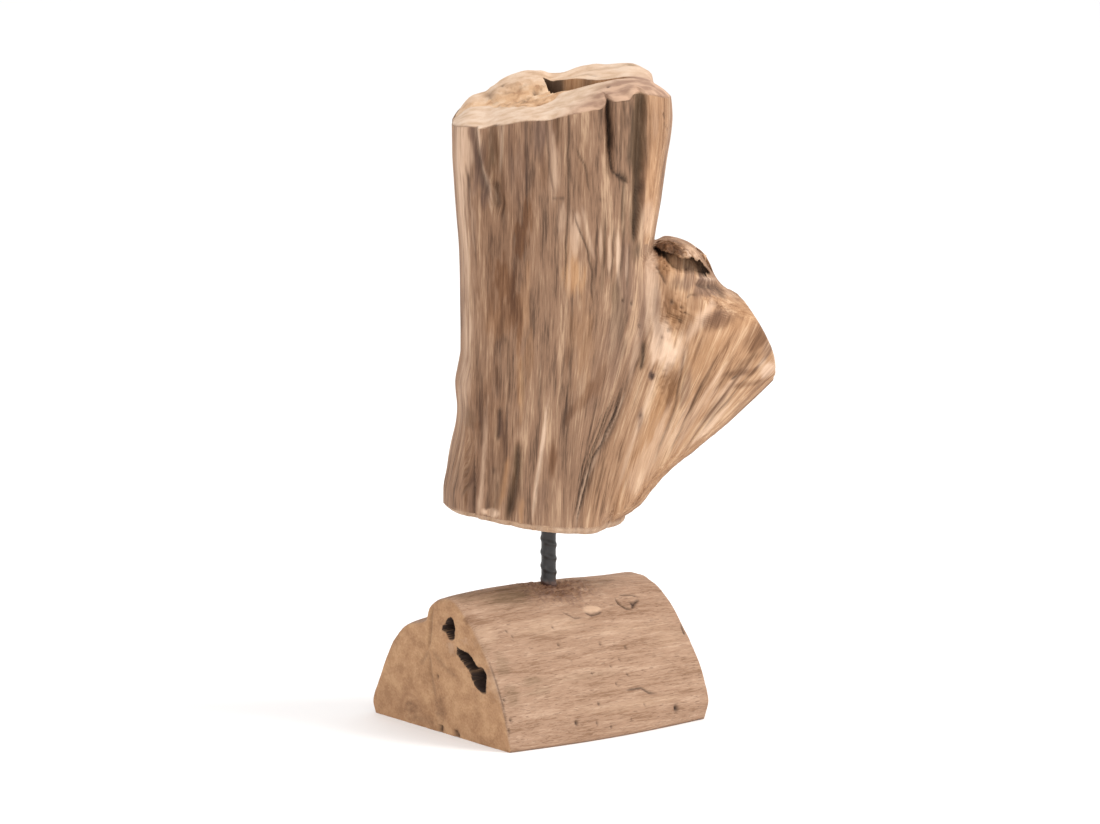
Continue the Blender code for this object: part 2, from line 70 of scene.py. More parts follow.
# %% Camera
MM = 0.001
TURN = math.radians(-34.2)
CAMERA_TILT = math.radians(79.22)
lens = bpy.data.cameras.new("Camera")
lens.lens = 150
lens.sensor_width = 36
camera = bpy.data.objects.new("Camera", lens)
camera.location = (-1.5652, -2.3047, 0.7241)
camera.rotation_euler = (CAMERA_TILT, 0, TURN)
bpy.context.collection.objects.link(camera)
bpy.context.scene.camera = camera
print("Camera at", tuple(camera.location))

# %% [markdown]
# ## Tools for materials
# Raw wood needs many layers of colour, and a node tree for them is slow to wire by hand. An image texture
# could carry them, but it would blur close up. So a small class wraps a socket, and then a material reads
# like arithmetic: adding two noises adds a Math node, and a mask mixes two colours.


# %% A material with one plain colour
def plain(name, colour, roughness):
    """A material of one colour."""
    made = bpy.data.materials.new(name)
    made.use_nodes = True
    shader = made.node_tree.nodes["Principled BSDF"]
    shader.inputs["Base Color"].default_value = (*colour, 1)
    shader.inputs["Roughness"].default_value = roughness
    return made


# %% Colours and shader arithmetic
def seen(red, green, blue):
    """A colour as a screen shows it, from 0 to 255, as the linear light that shaders use."""
    part = np.array([red, green, blue]) / 255
    return (*(((part + 0.055) / 1.055) ** 2.4).tolist(), 1.0)


class Wired:
    """A socket in a material's node tree. Arithmetic on it adds Math nodes."""

    def __init__(self, tree, socket=None):
        self.tree = tree
        self.socket = socket

    def node(self, kind, settings=(), sockets=(), output=0):
        """Adds a node: its settings first, then a value or a link for each socket."""
        made = self.tree.nodes.new("ShaderNode" + kind)
        for key, value in dict(settings).items():
            setattr(made, key, value)
        for key, value in dict(sockets).items():
            if isinstance(value, Wired):
                self.tree.links.new(value.socket, made.inputs[key])
            else:
                made.inputs[key].default_value = value
        return Wired(self.tree, made.outputs[output])

    def math(self, operation, a, b):
        return self.node("Math", {"operation": operation}, {0: a, 1: b})

    def __add__(self, other):
        return self.math("ADD", self, other)

    def __sub__(self, other):
        return self.math("SUBTRACT", self, other)

    def __rsub__(self, other):
        return self.math("SUBTRACT", other, self)

    def __mul__(self, other):
        return self.math("MULTIPLY", self, other)

    __radd__ = __add__
    __rmul__ = __mul__

    def ramp(self, low, high):
        """0 where this is below low, 1 above high, and a smooth step between them."""
        return self.node("MapRange", {"interpolation_type": "SMOOTHSTEP"}, {0: self, 1: low, 2: high})

    def mix(self, a, b):
        """The colour a where this is 0, and b where it is 1."""
        return self.node("Mix", {"data_type": "RGBA"}, {0: self, 6: a, 7: b}, 2)

    def stretched(self):
        """Noise from 0.38 to 0.62, where most of it lies, drawn out to 0 to 1."""
        return self.node("MapRange", {}, {0: self, 1: 0.38, 2: 0.62})

    def palette(self, dark, middle, light):
        """From the dark colour at 0 through the middle one at a half to the light one at 1."""
        return self.ramp(0.5, 1).mix(self.ramp(0, 0.5).mix(dark, middle), light)

    def mark(self, name):
        """A number that every point of the piece carries."""
        return self.node("Attribute", {"attribute_name": name}, output=2)

    def streaks(self, across, along, detail=3.0):
        """Noise that is drawn out along the fibres, from about 0.3 to 0.7."""
        fibres = self.node("Attribute", {"attribute_name": "grain"}, output=1)
        scale = (1 / across, 1 / across, 1 / along)
        drawn = self.node("VectorMath", {"operation": "MULTIPLY"}, {0: fibres, 1: scale})
        return self.node("TexNoise", (), {"Vector": drawn, "Scale": 1.0, "Detail": detail})

    def tinted(self, tone, tints):
        """This colour under stains and painted shade. Each has a mark of its name, and goes from dark to
        light by the tone.
        """
        colour = self
        for kind, (dark, light) in tints.items():
            strength = self.mark(kind) * (0.75 + 0.5 * (1 - tone))
            strength = strength.node("Clamp", {}, {0: strength})
            colour = strength.mix(colour, tone.mix(seen(*dark), seen(*light)))
        return colour


# %% Raw wood, before its colour
def raw_wood(name, roughness):
    """A new matt material, its shader, and the wire to build its colour on."""
    made = plain(name, (0.5, 0.4, 0.3), roughness)
    shader = made.node_tree.nodes["Principled BSDF"]
    shader.inputs["Specular IOR Level"].default_value = 0.3
    return made, shader, Wired(made.node_tree)


# %% [markdown]
# ## Floor and light
# The object stood on a white sweep in an even, bright room. A dome of area lamps could give such light, but
# a nearly white world does it with less noise. One large lamp at the upper right then shapes the wood, and
# its shadow falls softly to the left. A weak one at the left keeps that side from going dull.

# %% Floor
bpy.ops.mesh.primitive_plane_add(size=30)
floor = bpy.context.object
floor.name = "floor"
floor.data.materials.append(plain("Floor", (0.97, 0.965, 0.965), 0.9))


# %% Lights
def lamp(name, place, towards, size, watts, colour):
    """A square area light at a place, turned to face another."""
    light = bpy.data.lights.new(name, "AREA")
    light.size = size
    light.energy = watts
    light.color = colour
    made = bpy.data.objects.new(name, light)
    made.location = place
    way = np.array(towards) - place
    flat = math.hypot(way[0], way[1])
    made.rotation_euler = Euler((math.atan2(flat, -way[2]), 0, math.atan2(way[1], way[0]) - math.pi / 2))
    bpy.context.collection.objects.link(made)
    return made


lamp("Key", (1.3, -1.1, 1.9), (0, 0, 0.25), 0.9, 34, (1, 0.98, 0.95))
lamp("Fill", (-2.2, -1.2, 1.2), (0, 0, 0.2), 1.6, 12, (1, 0.99, 0.98))
world = bpy.data.worlds.new("World")
world.use_nodes = True
world.node_tree.nodes["Background"].inputs["Color"].default_value = (1, 0.99, 0.985, 1)
world.node_tree.nodes["Background"].inputs["Strength"].default_value = 1.03
bpy.context.scene.world = world
bpy.context.scene.view_settings.view_transform = "Standard"

# %% [markdown]
# ## Tools for surfaces
# Wood like this could be sculpted by hand or carved with booleans. Here every piece is one closed surface
# of two parameters, because then each furrow and crack is placed by number and the mesh stays closed. A row
# of points goes once round the piece, and the rows follow each other from one pole to the other. Smooth
# curves through a few measured points give the outlines, and a noise on a lattice what is irregular.


# %% Curves
def through(knots, values, t):
    """Smooth curve through the knots: cubic pieces whose slopes never overshoot."""
    knots, values = np.asarray(knots, float), np.asarray(values, float)
    steps = np.diff(knots)
    rates = np.diff(values) / steps
    before, after = rates[:-1], rates[1:]
    same_way = before * after > 0
    total = np.where(same_way, before + after, 1)
    inner = np.where(same_way, 2 * before * after / total, 0)
    slopes = np.concatenate([rates[:1], inner, rates[-1:]])
    t = np.clip(t, knots[0], knots[-1])
    i = np.clip(np.searchsorted(knots, t, side="right") - 1, 0, len(steps) - 1)
    h = steps[i]
    s = (t - knots[i]) / h
    left = values[i] * (1 + 2 * s) * (1 - s) ** 2 + slopes[i] * h * s * (1 - s) ** 2
    right = values[i + 1] * s**2 * (3 - 2 * s) + slopes[i + 1] * h * s**2 * (s - 1)
    return left + right


def ramp(low, high, t):
    """0 below low, 1 above high, and a smooth step between them."""
    s = np.clip((t - low) / (high - low), 0, 1)
    return s * s * (3 - 2 * s)


# %% Noise
def noise(places, seed):
    """Smooth noise from -1 to 1: random values at whole numbers, blended between them by smooth steps."""
    size = 256
    chance = np.random.default_rng(seed)
    table = chance.uniform(-1, 1, size)
    shuffle = chance.permutation(size)
    cell = np.floor(places).astype(int)
    share = places - cell
    share = share * share * (3 - 2 * share)
    total = 0
    for corner in np.ndindex(2, 2, 2):
        at = 0
        weight = 1
        for axis in range(3):
            at = shuffle[(at + cell[..., axis] + corner[axis]) % size]
            weight = weight * (share[..., axis] if corner[axis] else 1 - share[..., axis])
        total = total + table[at] * weight
    return total


# %% Bent lines
def near_line(places, line):
    """For each place, how far it is from a bent line, and the share of the line's length at the nearest
    point."""
    line = np.asarray(line, float)
    ways = np.diff(line, axis=0)
    lengths = np.linalg.norm(ways, axis=1)
    starts = np.concatenate([[0], np.cumsum(lengths)])
    nearest = np.full(places.shape[:-1], np.inf)
    share = np.zeros(places.shape[:-1])
    for start, way, length, before in zip(line, ways, lengths, starts):
        t = np.clip((places - start) @ way / length**2, 0, 1)
        away = np.linalg.norm(places - start - t[..., None] * way, axis=-1)
        closer = away < nearest
        nearest = np.where(closer, away, nearest)
        share = np.where(closer, (before + t * length) / starts[-1], share)
    return nearest, share


def groove(places, line, width, sharp=2.0):
    """1 along a bent line, falling off to its sides over a width, and running out towards its ends."""
    away, share = near_line(places, line)
    taper = np.clip(6 * share * (1 - share) + 0.15, 0, 1)
    return taper * np.exp(-((away / (width * (0.4 + 0.6 * taper))) ** sharp))


def spot(places, middle, size):
    """1 at a point, falling off round it."""
    away = np.linalg.norm((places - np.asarray(middle, float)) / np.asarray(size, float), axis=-1)
    return np.exp(-(away**2))


def strongest(shapes):
    """Greatest depth and greatest painted shade at every place, of shapes that each have their own two."""
    depth = dark = 0
    for shape, deep, much in shapes:
        depth, dark = np.maximum(depth, deep * shape), np.maximum(dark, much * shape)
    return depth, dark


# %% Meshes from rows
def solid_of_rows(name, rows, finish, values=None):
    """Closed mesh of rows that each run once round, with a fan to the middle of the first and last row.

    Each entry of values is a number or a vector for every point, kept as an attribute of that name.
    """
    count, around = rows.shape[:2]
    poles = [rows[0].mean(axis=0), rows[-1].mean(axis=0)]
    points = np.concatenate([rows.reshape(-1, 3), poles])
    place = np.arange(count * around).reshape(count, around)
    beside = np.roll(place, -1, axis=1)
    quads = np.stack([place[:-1], beside[:-1], beside[1:], place[1:]], axis=-1).reshape(-1, 4)
    low_fan = np.stack([np.full(around, len(points) - 2), beside[0], place[0]], axis=-1)
    high_fan = np.stack([np.full(around, len(points) - 1), place[-1], beside[-1]], axis=-1)
    mesh = bpy.data.meshes.new(name)
    mesh.from_pydata(points.tolist(), [], quads.tolist() + low_fan.tolist() + high_fan.tolist())
    mesh.shade_smooth()
    mesh.materials.append(finish)
    for key, value in (values or {}).items():
        flat = value.reshape(count * around, -1)
        flat = np.concatenate([flat, [value[0].mean(axis=0).ravel(), value[-1].mean(axis=0).ravel()]])
        kind = "FLOAT_VECTOR" if flat.shape[1] == 3 else "FLOAT"
        kept = mesh.attributes.new(key, kind, "POINT")
        kept.data.foreach_set("vector" if kind == "FLOAT_VECTOR" else "value", flat.ravel())
    made = bpy.data.objects.new(name, mesh)
    bpy.context.collection.objects.link(made)
    print(f"{name}: {2 * len(quads) + 2 * around} triangles")
    return made


def normals_of(rows):
    """Outward unit normals of rows that run anticlockwise seen from above, lowest row first."""
    along = np.gradient(rows, axis=0)
    around = (np.roll(rows, -1, axis=1) - np.roll(rows, 1, axis=1)) / 2
    out = np.cross(around, along)
    return out / np.maximum(np.linalg.norm(out, axis=-1, keepdims=True), 1e-12)


# %% [markdown]
# ## The root's smooth body
# Lengths are in millimetres while a piece is being shaped. The root's x runs across its broad front, y
# from the front to the back, and z up. Its left edge, the trunk's right edge and the limb's edge are curves
# over the height. Two tubes joined by a boolean would leave a sharp seam at the crotch. So one surface has
# both: a squarish oval gives the trunk's depth and a rounded wedge the limb's, and the greater one wins,
# with a soft change between them.

# %% Outlines of the root
BOTTOM_X = (-64, -48, -37, -29, -15, 0, 15, 30, 60)
BOTTOM_Z = (136, 135.2, 133.8, 132, 129.2, 127, 125.2, 124, 124)
TOP_X = (-62, -48, -39, -27, -2, 10, 31, 50, 62, 70, 78)
TOP_Z = (374.5, 380.5, 381, 384.5, 389.5, 392.5, 396.5, 398, 396, 392, 388)
TOP_TILT = 0.13
LEFT_Z = (120, 128, 137, 148, 160, 172, 186, 200, 213, 235, 263, 294, 318, 338, 356, 385)
LEFT_X = (
    -53, -59, -64.8, -64.8, -62.8, -60.2, -57.4, -56, -57, -53.6, -53.9, -54.4, -56, -57.2, -58.4, -58.4,
)
TRUNK_Z = (120, 150, 180, 210, 240, 270, 297, 305, 318, 336, 355, 367, 380, 405)
TRUNK_X = (36, 47, 54, 58, 60, 62, 63.8, 64.8, 67.5, 70, 72.3, 74, 75, 75)
LIMB_Z = (
    114, 122, 129, 136, 148, 160, 173, 186, 199, 208, 214, 222, 232, 242, 250, 256, 262, 268, 274, 280,
    286, 293, 298.5, 302, 304,
)
LIMB_X = (
    26, 36.5, 47, 56.8, 67, 78, 93.5, 109, 122.5, 132, 138, 146, 155, 160, 157, 147, 130, 116, 107, 102,
    99, 95, 88, 78, 62,
)
RIDGE_X = (20, 50, 64, 76, 84, 92, 99, 106, 113, 126, 150, 170)
RIDGE_Z = (318, 307, 304, 304, 301.5, 294.5, 283.5, 275.5, 269.5, 263, 252, 236)
SPREAD_Z = (250, 280, 300, 322, 350)
SPREAD_X = (157, 104, 94, 84, 71)
FAN_LOW, FAN_HIGH = 152, 322
FRONT_DEPTH, BACK_DEPTH, LIMB_DEPTH = 48, 49, 41
SQUARENESS = 2.9
LIMB_ROUNDING = 34


def root_bottom(x):
    """Height of the sawn bottom."""
    return through(BOTTOM_X, BOTTOM_Z, x)


def root_top(x, y):
    """Height of the sawn top: a curve across the front that rises towards the back and at its right."""
    from_front = np.maximum(y + 43, 0)
    step = 3.6 * ramp(30.5 - from_front, 37.6, x) + 2.9 * ramp(48.5 - 0.9 * from_front, 52, x)
    corner = 3.5 * ramp(-46, -58, x) * ramp(-20, 20, y)
    return through(TOP_X, TOP_Z, x) + TOP_TILT * y + step * ramp(25, -20, y) - corner


def worn_rim(x):
    """How far the top's rim is worn down: not at its crisp left, but on the right of it."""
    return 1.8 * ramp(-15, 2, x)


def root_edges(z):
    """Left edge, the trunk's right edge and the limb's right edge, at a height."""
    limb = np.where(z < LIMB_Z[-1], through(LIMB_Z, LIMB_X, z), 0)
    return through(LEFT_Z, LEFT_X, z), through(TRUNK_Z, TRUNK_X, z), limb


def root_half_depth(x, z, trunk_depth):
    """Half depth over the front's plane: a squarish oval trunk, blended with the rounded limb."""
    left, trunk, limb = root_edges(z)
    across = np.clip(np.abs(2 * x - left - trunk) / (trunk - left), 0, 1)
    stem = trunk_depth * (1 - across**SQUARENESS) ** (1 / SQUARENESS)
    from_side = np.clip(0.72 * (limb - x) / LIMB_ROUNDING, 1e-4, 1)
    from_ridge = np.clip(0.8 * (through(RIDGE_X, RIDGE_Z, x) - z) / LIMB_ROUNDING, 1e-4, 1)
    inward = np.clip((from_side**-4.0 + from_ridge**-4.0) ** -0.25, 0, 1)
    born = ramp(5, 50, x) * ramp(0, 9, limb - trunk)
    side = (LIMB_DEPTH - 0.09 * np.maximum(x - 40, 0)) * np.sqrt(1 - (1 - inward) ** 2) * born
    reach = 0.35 * np.minimum(stem, side) + 1e-4
    return np.maximum(stem, side) + np.maximum(reach - np.abs(stem - side), 0) ** 2 / (4 * reach)


def across_root(along, z):
    """x at a share of the way across the front.

    The share is spread over a width that changes slowly with the height, so that the columns of points
    run smoothly past the crotch, where the body itself grows narrow at once.
    """
    left, trunk, limb = root_edges(z)
    seam = trunk - 4
    spread = np.maximum(through(SPREAD_Z, SPREAD_X, z), np.maximum(trunk, limb * (z < 290)))
    split = (seam - left) / (spread - left)
    right = np.maximum(trunk, limb)
    inner = left + (seam - left) * along / split
    return np.where(along < split, inner, seam + (right - seam) * (along - split) / (1 - split))


def root_body(along, side, station):
    """The smooth body, over the share across it on its front or back side, and the station up it.

    Stations run from 0 to 1 between the sawn bottom and a level line, to 2 at the next level line, and to 3
    at the sawn top. The heights near the two ends follow from x and y, so they are found by turns.
    """
    low, middle, high = (np.clip(station - start, 0, 1) for start in (0, 1, 2))
    z = FAN_LOW * low + (FAN_HIGH - FAN_LOW) * middle + 0 * along
    for _ in range(6):
        x = across_root(along, z)
        y = side * root_half_depth(x, z, np.where(side < 0, FRONT_DEPTH, BACK_DEPTH))
        rise = (root_bottom(x) * (1 - low), FAN_LOW * low, (FAN_HIGH - FAN_LOW) * middle)
        z = sum(rise) + (root_top(x, y) - worn_rim(x) - FAN_HIGH) * high
    return np.stack([x, y, z], axis=-1)


# %% Points on the smooth body
FRONT_COLUMNS, BACK_COLUMNS = 290, 64
CROTCH_LOW, CROTCH_HIGH = 262, 308


def crowded_ends(count):
    """Shares from 0 up to 1, evenly spread but crowded at both ends, where the surface turns fast."""
    t = np.arange(count + 1) / count
    weight = ((1 - np.exp(-t / 0.05)) * (1 - np.exp((t - 1) / 0.05))) ** 2
    share = np.concatenate([[0], np.cumsum((weight[1:] + weight[:-1]) / 2)])
    return share[:-1] / share[-1]


columns = np.concatenate([crowded_ends(FRONT_COLUMNS), 1 - crowded_ends(BACK_COLUMNS)])
sides = np.repeat([-1.0, 1.0], [FRONT_COLUMNS, BACK_COLUMNS])
heights = np.concatenate([
    np.linspace(FAN_LOW, CROTCH_LOW, 88)[1:], np.linspace(CROTCH_LOW, CROTCH_HIGH, 80)[1:],
    np.linspace(CROTCH_HIGH, FAN_HIGH, 9)[1:],
])
station = np.concatenate([
    np.linspace(0.2, 1, 18), 1 + (heights - FAN_LOW) / (FAN_HIGH - FAN_LOW), np.linspace(2, 2.985, 37)[1:],
])
body = root_body(columns[None, :], sides[None, :], station[:, None])
x, y, z = (body[..., axis] for axis in range(3))
out = normals_of(body)
facing = ramp(0.05, 0.5, -out[..., 1])
backing = ramp(-0.2, 0.3, out[..., 1])
print("Root's grid:", body.shape)

# %% [markdown]
# ## The grain's own coordinates
# Wood splits, weathers and is coloured along its fibres. In the trunk they run up and down. From the
# crotch they bend over into the limb. A pattern on plain coordinates would cut across them there. So each
# point gets a coordinate across the fibres: where its fibre passes the height of 205 mm. A fibre leans by a
# slope that grows towards the limb's underside.

# %% Across and along the fibres
FIBRE_Z = (120, 150, 180, 205, 240, 265, 300, 330)
FIBRE_CLIMB = (-62, -46, -24, 0, 33, 52, 60, 60)
FRONT_Y = -44
FIBRE_AT = (-70, 10, 28, 43, 74, 88, 104, 135, 175)
FIBRE_LEAN = (0.02, 0.06, 0.2, 0.3, 0.38, 0.52, 0.72, 1.08, 1.15)


def fibre(x, z):
    """Coordinate across the fibres, found by turns: x less what the fibre leans between 205 mm and z."""
    climb = through(FIBRE_Z, FIBRE_CLIMB, z)
    x = x - (through(LEFT_Z, LEFT_X, z) + 57) * ramp(-38, -54, x)
    across = x.copy()
    for _ in range(12):
        across = 0.5 * across + 0.5 * (x - through(FIBRE_AT, FIBRE_LEAN, across) * climb)
    return across


def grain_of(places, front=0.0):
    """Coordinates that follow the fibres: across them twice, and along them. On the front, where depth
    hardly changes across the fibres, the second one is held at the front's own depth."""
    x, y, z = (places[..., axis] for axis in range(3))
    return np.stack([fibre(x, z), y + front * (FRONT_Y - y), z + 0.35 * np.maximum(x - 50, 0)], axis=-1)


grain = grain_of(body, ramp(0.2, 0.7, -out[..., 1]))
print("Fibres across, in mm:", np.round(np.percentile(grain[..., 0], (0, 50, 100))))

# %% [markdown]
# ## Furrows, cracks and ledges of the front
# The broad furrows are smooth valleys: each follows a curve over the height. Narrow cracks follow bent
# lines, measured on the front as x and z. Each has a width and a depth, and painted shade darkens the wood
# inside it. A bump map would be cheaper, but the deep ones show from the side and in the mesh, so all are
# real shape.

# %% Broad furrows
FURROWS = {
    "slot": ((352, 365, 400), (37, 36.6, 36.5), 2.4, 3, 10),
    "left gouge": ((330, 346, 361, 400), (-30, -32.4, -34.4, -36), 4.3, 6.2, 10),
    "crease": (
        (120, 144, 174, 192, 216, 233, 252, 277, 300),
        (16, 19.3, 28.4, 36.9, 46, 52, 58.6, 61.5, 64.5), 5, 2.8, 10,
    ),
    "lower middle": ((126, 138, 150, 166, 180), (-25, -24, -20.7, -18.9, -18.4), 3, 3.2, 8),
}
DISHES = (((84, 262), (15, 20), 4), ((-8, 300), (16, 60), 1.5), ((112, 243), (11, 16), 1.5))
CHANNEL_Z = (300, 306, 321, 343, 367, 400)
CHANNEL_EDGE = (52.5, 53.6, 55.6, 57.2, 58.1, 59.3)


def channel_depth(x, z):
    """The channel at the right: it sinks slowly from its left and ends in a steep wall at its right."""
    from_edge = through(CHANNEL_Z, CHANNEL_EDGE, z) - x
    wide = through((300, 320, 345, 400), (4, 6, 9, 10), z)
    profile = ramp(-0.7, 1.3, from_edge) * ramp(1.15, 0.1, from_edge / wide)
    return profile * through((300, 308, 320, 345, 390, 400), (0, 2.5, 4.5, 5.6, 5.6, 5), z)


def low_channel(x, z):
    """1 in the walled channel at the lower left, 0 outside it."""
    left = through((130, 165, 186), (-51.6, -51.2, -50), z)
    right = through((130, 150, 170, 188), (-44.6, -45.2, -45, -46), z)
    return ramp(-0.5, 0.6, x - left) * ramp(-0.5, 0.6, right - x) * ramp(194, 182, z)


def furrow_depth(x, z):
    """How far the front's furrows and dishes lie below its smooth surface."""
    depth = channel_depth(x, z) + 3 * low_channel(x, z)
    for levels, across, width, deep, fade in FURROWS.values():
        line = through(levels, across, z)
        ends = ramp(-fade, 0, z - levels[0]) * ramp(-fade, 0, levels[-1] - z)
        depth += deep * ends * np.exp(-(((x - line) / width) ** 2))
    for (cx, cz), (wx, wz), deep in DISHES:
        depth += deep * np.exp(-(((x - cx) / wx) ** 2) - ((z - cz) / wz) ** 2)
    return depth


# %% Cracks and pits of the front: the line or middle, the width or half sizes, the depth and the painted shade
CRACKS = {
    "upper front": (
        (((-45.2, 392), (-44.5, 374.5), (-43.2, 361.5), (-41.2, 351), (-37.8, 338),
          (-36, 329)), 2.2, 2.4, 0.55), (((-34, 344), (-32.6, 336), (-31.6, 326)), 1.6, 1.6, 0.6),
        (((-28.2, 392), (-28.4, 362), (-29.8, 340)), 0.8, 0.7, 0.4),
        (((-13.8, 392), (-13.2, 362.8), (-13.3, 341.5), (-12.7, 318)), 0.6, 0.6, 0.4),
        (((-6.5, 392), (-6, 372), (-5.4, 352)), 0.7, 0.5, 0.4),
        (((-2.4, 396), (-1.8, 381), (-0.6, 362.9), (1.8, 347.7), (4.2, 332.5)), 0.7, 0.8, 0.4),
        (((5, 392), (5.6, 378), (5.2, 366)), 1.8, 0.8, 0.5),
        (((12.2, 399), (12.2, 356.8), (11.8, 337), (11.2, 318), (10.6, 300),
          (10, 274)), 0.55, 1.0, 0.75),
        (((16.4, 366), (18.6, 360), (21.5, 354), (23.3, 346), (25.2, 337)), 0.6, 0.8, 0.55),
        (((14, 328), (16.3, 320.4), (20.5, 309.4), (24.2, 300), (25.8, 289),
          (26.6, 266)), 0.6, 1.0, 0.65), (((0.8, 334.4), (5, 333.2), (10.4, 334.6)), 0.5, 0.6, 0.45),
    ),
    "slot and channel": (
        (((36.9, 404), (36.7, 383.3), (36.9, 374.3), (37.3, 366), (38, 358)), 1.35, 7, 1.0),
        (((37.6, 366), (38.2, 356.5), (39.4, 350), (41.4, 347.6), (43.6, 346.8),
          (47.6, 343.4)), 0.6, 2.4, 1.0), (((40.8, 349), (44, 346), (47.8, 343)), 1.5, 2.2, 0.9),
        (((45.4, 346), (45, 332), (44.6, 316)), 0.7, 1.0, 0.55),
        (((43.4, 392), (43.2, 372), (42.6, 354)), 0.5, 0.5, 0.3),
        (((57.4, 345), (56.2, 330), (54.3, 315), (52.2, 303)), 1.0, 1.6, 0.7),
        (((69.2, 384.5), (71.2, 379)), 0.5, 0.7, 0.6), (((70.4, 377.2), (72.4, 371)), 0.5, 0.6, 0.5),
        (((61.5, 390), (61, 370), (60, 350)), 0.9, 0.5, 0.2),
        (((34.8, 322), (33.6, 300), (33, 288)), 0.6, 0.8, 0.45),
        (((40.5, 318), (38.8, 300), (37.6, 282)), 0.7, 0.9, 0.5),
        (((46.6, 317), (45.2, 304), (43.6, 286)), 0.7, 0.9, 0.5),
        (((49.6, 304), (48.6, 290), (47.2, 276)), 0.6, 0.7, 0.45),
    ),
    "lower front": (
        (((-46.2, 176), (-46.4, 160), (-46.2, 130)), 0.6, 1.4, 0.8),
        (((-29.6, 206), (-29.8, 194), (-31, 184)), 1.3, 2.0, 0.8),
        (((-31.4, 232), (-31.6, 222), (-31, 210)), 1.0, 0.8, 0.45),
        (((-18.2, 184), (-18.7, 166), (-20.8, 150.5), (-25, 134)), 1.5, 1.8, 0.6),
        (((-31.2, 160), (-32.2, 150), (-33.2, 141)), 0.6, 0.6, 0.4),
        (((-3.4, 184), (-5.4, 168), (-8.6, 148), (-10, 136)), 0.6, 0.7, 0.4),
        (((46.3, 220), (41.5, 201.8), (37.2, 190.9), (33, 181), (28.7, 173.2), (25, 160.1),
          (21.4, 148.2), (18.3, 137), (16.3, 126)), 0.6, 1.6, 1.0),
        (((39, 212), (32.9, 193.1), (26.9, 176.3), (22.6, 164), (18.3, 147),
          (14, 132)), 0.5, 1.2, 0.95),
        (((42, 214), (37, 199), (31, 184), (26.4, 171), (22.5, 160), (18, 144)), 0.45, 1.0, 0.8),
        (((34.5, 206), (29, 191), (23.6, 176), (19.6, 164), (16, 150)), 0.45, 0.8, 0.7),
        (((50, 226), (46, 208), (41.6, 196), (37, 184)), 0.6, 0.8, 0.45),
        (((-4.4, 250), (-6.1, 197.5)), 0.5, 0.5, 0.4),
        (((15.6, 248), (12.6, 225), (10, 205), (7, 182)), 0.6, 0.7, 0.45),
        (((9.6, 242), (8.4, 226), (6, 204)), 0.5, 0.6, 0.4),
        (((-11.4, 246), (-11.8, 222)), 0.5, 0.5, 0.35),
        (((57.9, 244), (57.6, 237), (56.8, 230), (56, 226)), 0.8, 1.6, 0.75),
    ),
    "limb": (
        (((89, 278.6), (98, 275.8), (103, 274.4), (105.5, 271.5), (109, 267.5)), 1.2, 1.8, 0.5),
        (((83, 244), (82, 234), (79.4, 216), (76, 200), (69, 181.5), (64, 168)), 0.8, 1.0, 0.5),
        (((85.4, 246), (84, 232), (81.6, 214), (78.5, 199)), 0.6, 0.6, 0.3),
        (((104.9, 238.2), (92.7, 216.9), (83.7, 195.1), (73.5, 172)), 0.7, 0.8, 0.45),
        (((130.8, 243.1), (114.2, 219.5), (96.1, 194.1), (81.1, 170)), 0.7, 0.8, 0.35),
        (((136, 236), (122, 221), (106, 202), (92, 184)), 0.6, 0.7, 0.35),
        (((99, 226), (91, 210), (84.5, 194)), 0.6, 0.6, 0.3),
        (((111.6, 219.6), (115.6, 222.4)), 0.8, 1.0, 0.7),
        (((99, 212), (108, 221), (118, 229.5), (131, 238)), 1.5, 0.5, 0.25),
        (((85, 271.2), (87.8, 273), (91.5, 272.6)), 0.5, 0.9, 0.5),
        (((65.3, 292), (68.2, 286.4), (71, 279)), 0.8, 1.2, 0.5),
    ),
}
PITS = (
    ((54.6, 300), (1.5, 3.5), 1.0, 0.45), ((50.4, 268.4), (0.8, 1.6), 1.0, 0.7),
    ((44.9, 270.6), (0.6, 1.2), 0.9, 0.6), ((62.9, 223.4), (1.1, 1.9), 1.2, 0.9),
    ((56.1, 198.9), (1.0, 1.6), 0.7, 0.5), ((75.5, 269), (1.2, 1.5), 1.4, 0.7),
    ((80.4, 256.7), (1.2, 1.5), 1.4, 0.6), ((73, 251), (1.0, 1.2), 1.2, 0.6),
    ((31.4, 332.4), (0.9, 1.3), 0.9, 0.4), ((81.6, 266), (1.2, 1.2), 1.2, 0.6),
    ((84, 262), (1, 1.2), 1.2, 0.6), ((-33.5, 166), (1.2, 2.2), 0.8, 0.5),
    ((69, 247), (0.8, 1), 0.8, 0.4), ((55.4, 254), (0.6, 1.4), 0.8, 0.5),
    ((-26, 247), (0.7, 2), 0.5, 0.5),
)
flat = body[..., (0, 2)]
wander = np.stack([0.7 * noise(body / (9, 9, 9) + 40, 7), 0 * x], axis=-1)
crack_depth, painted_recess_shade = strongest(
    [(groove(flat + wander, line, width, 1.5), *much) for line, width, *much in sum(CRACKS.values(), ())]
    + [(spot(flat, middle, size), *much) for middle, size, *much in PITS]
)
# Painted shade darkens the cracks and pits, on the front only.
crack_depth *= facing
painted_recess_shade *= facing
print("Deepest crack:", round(float(crack_depth.max()), 2), "mm")

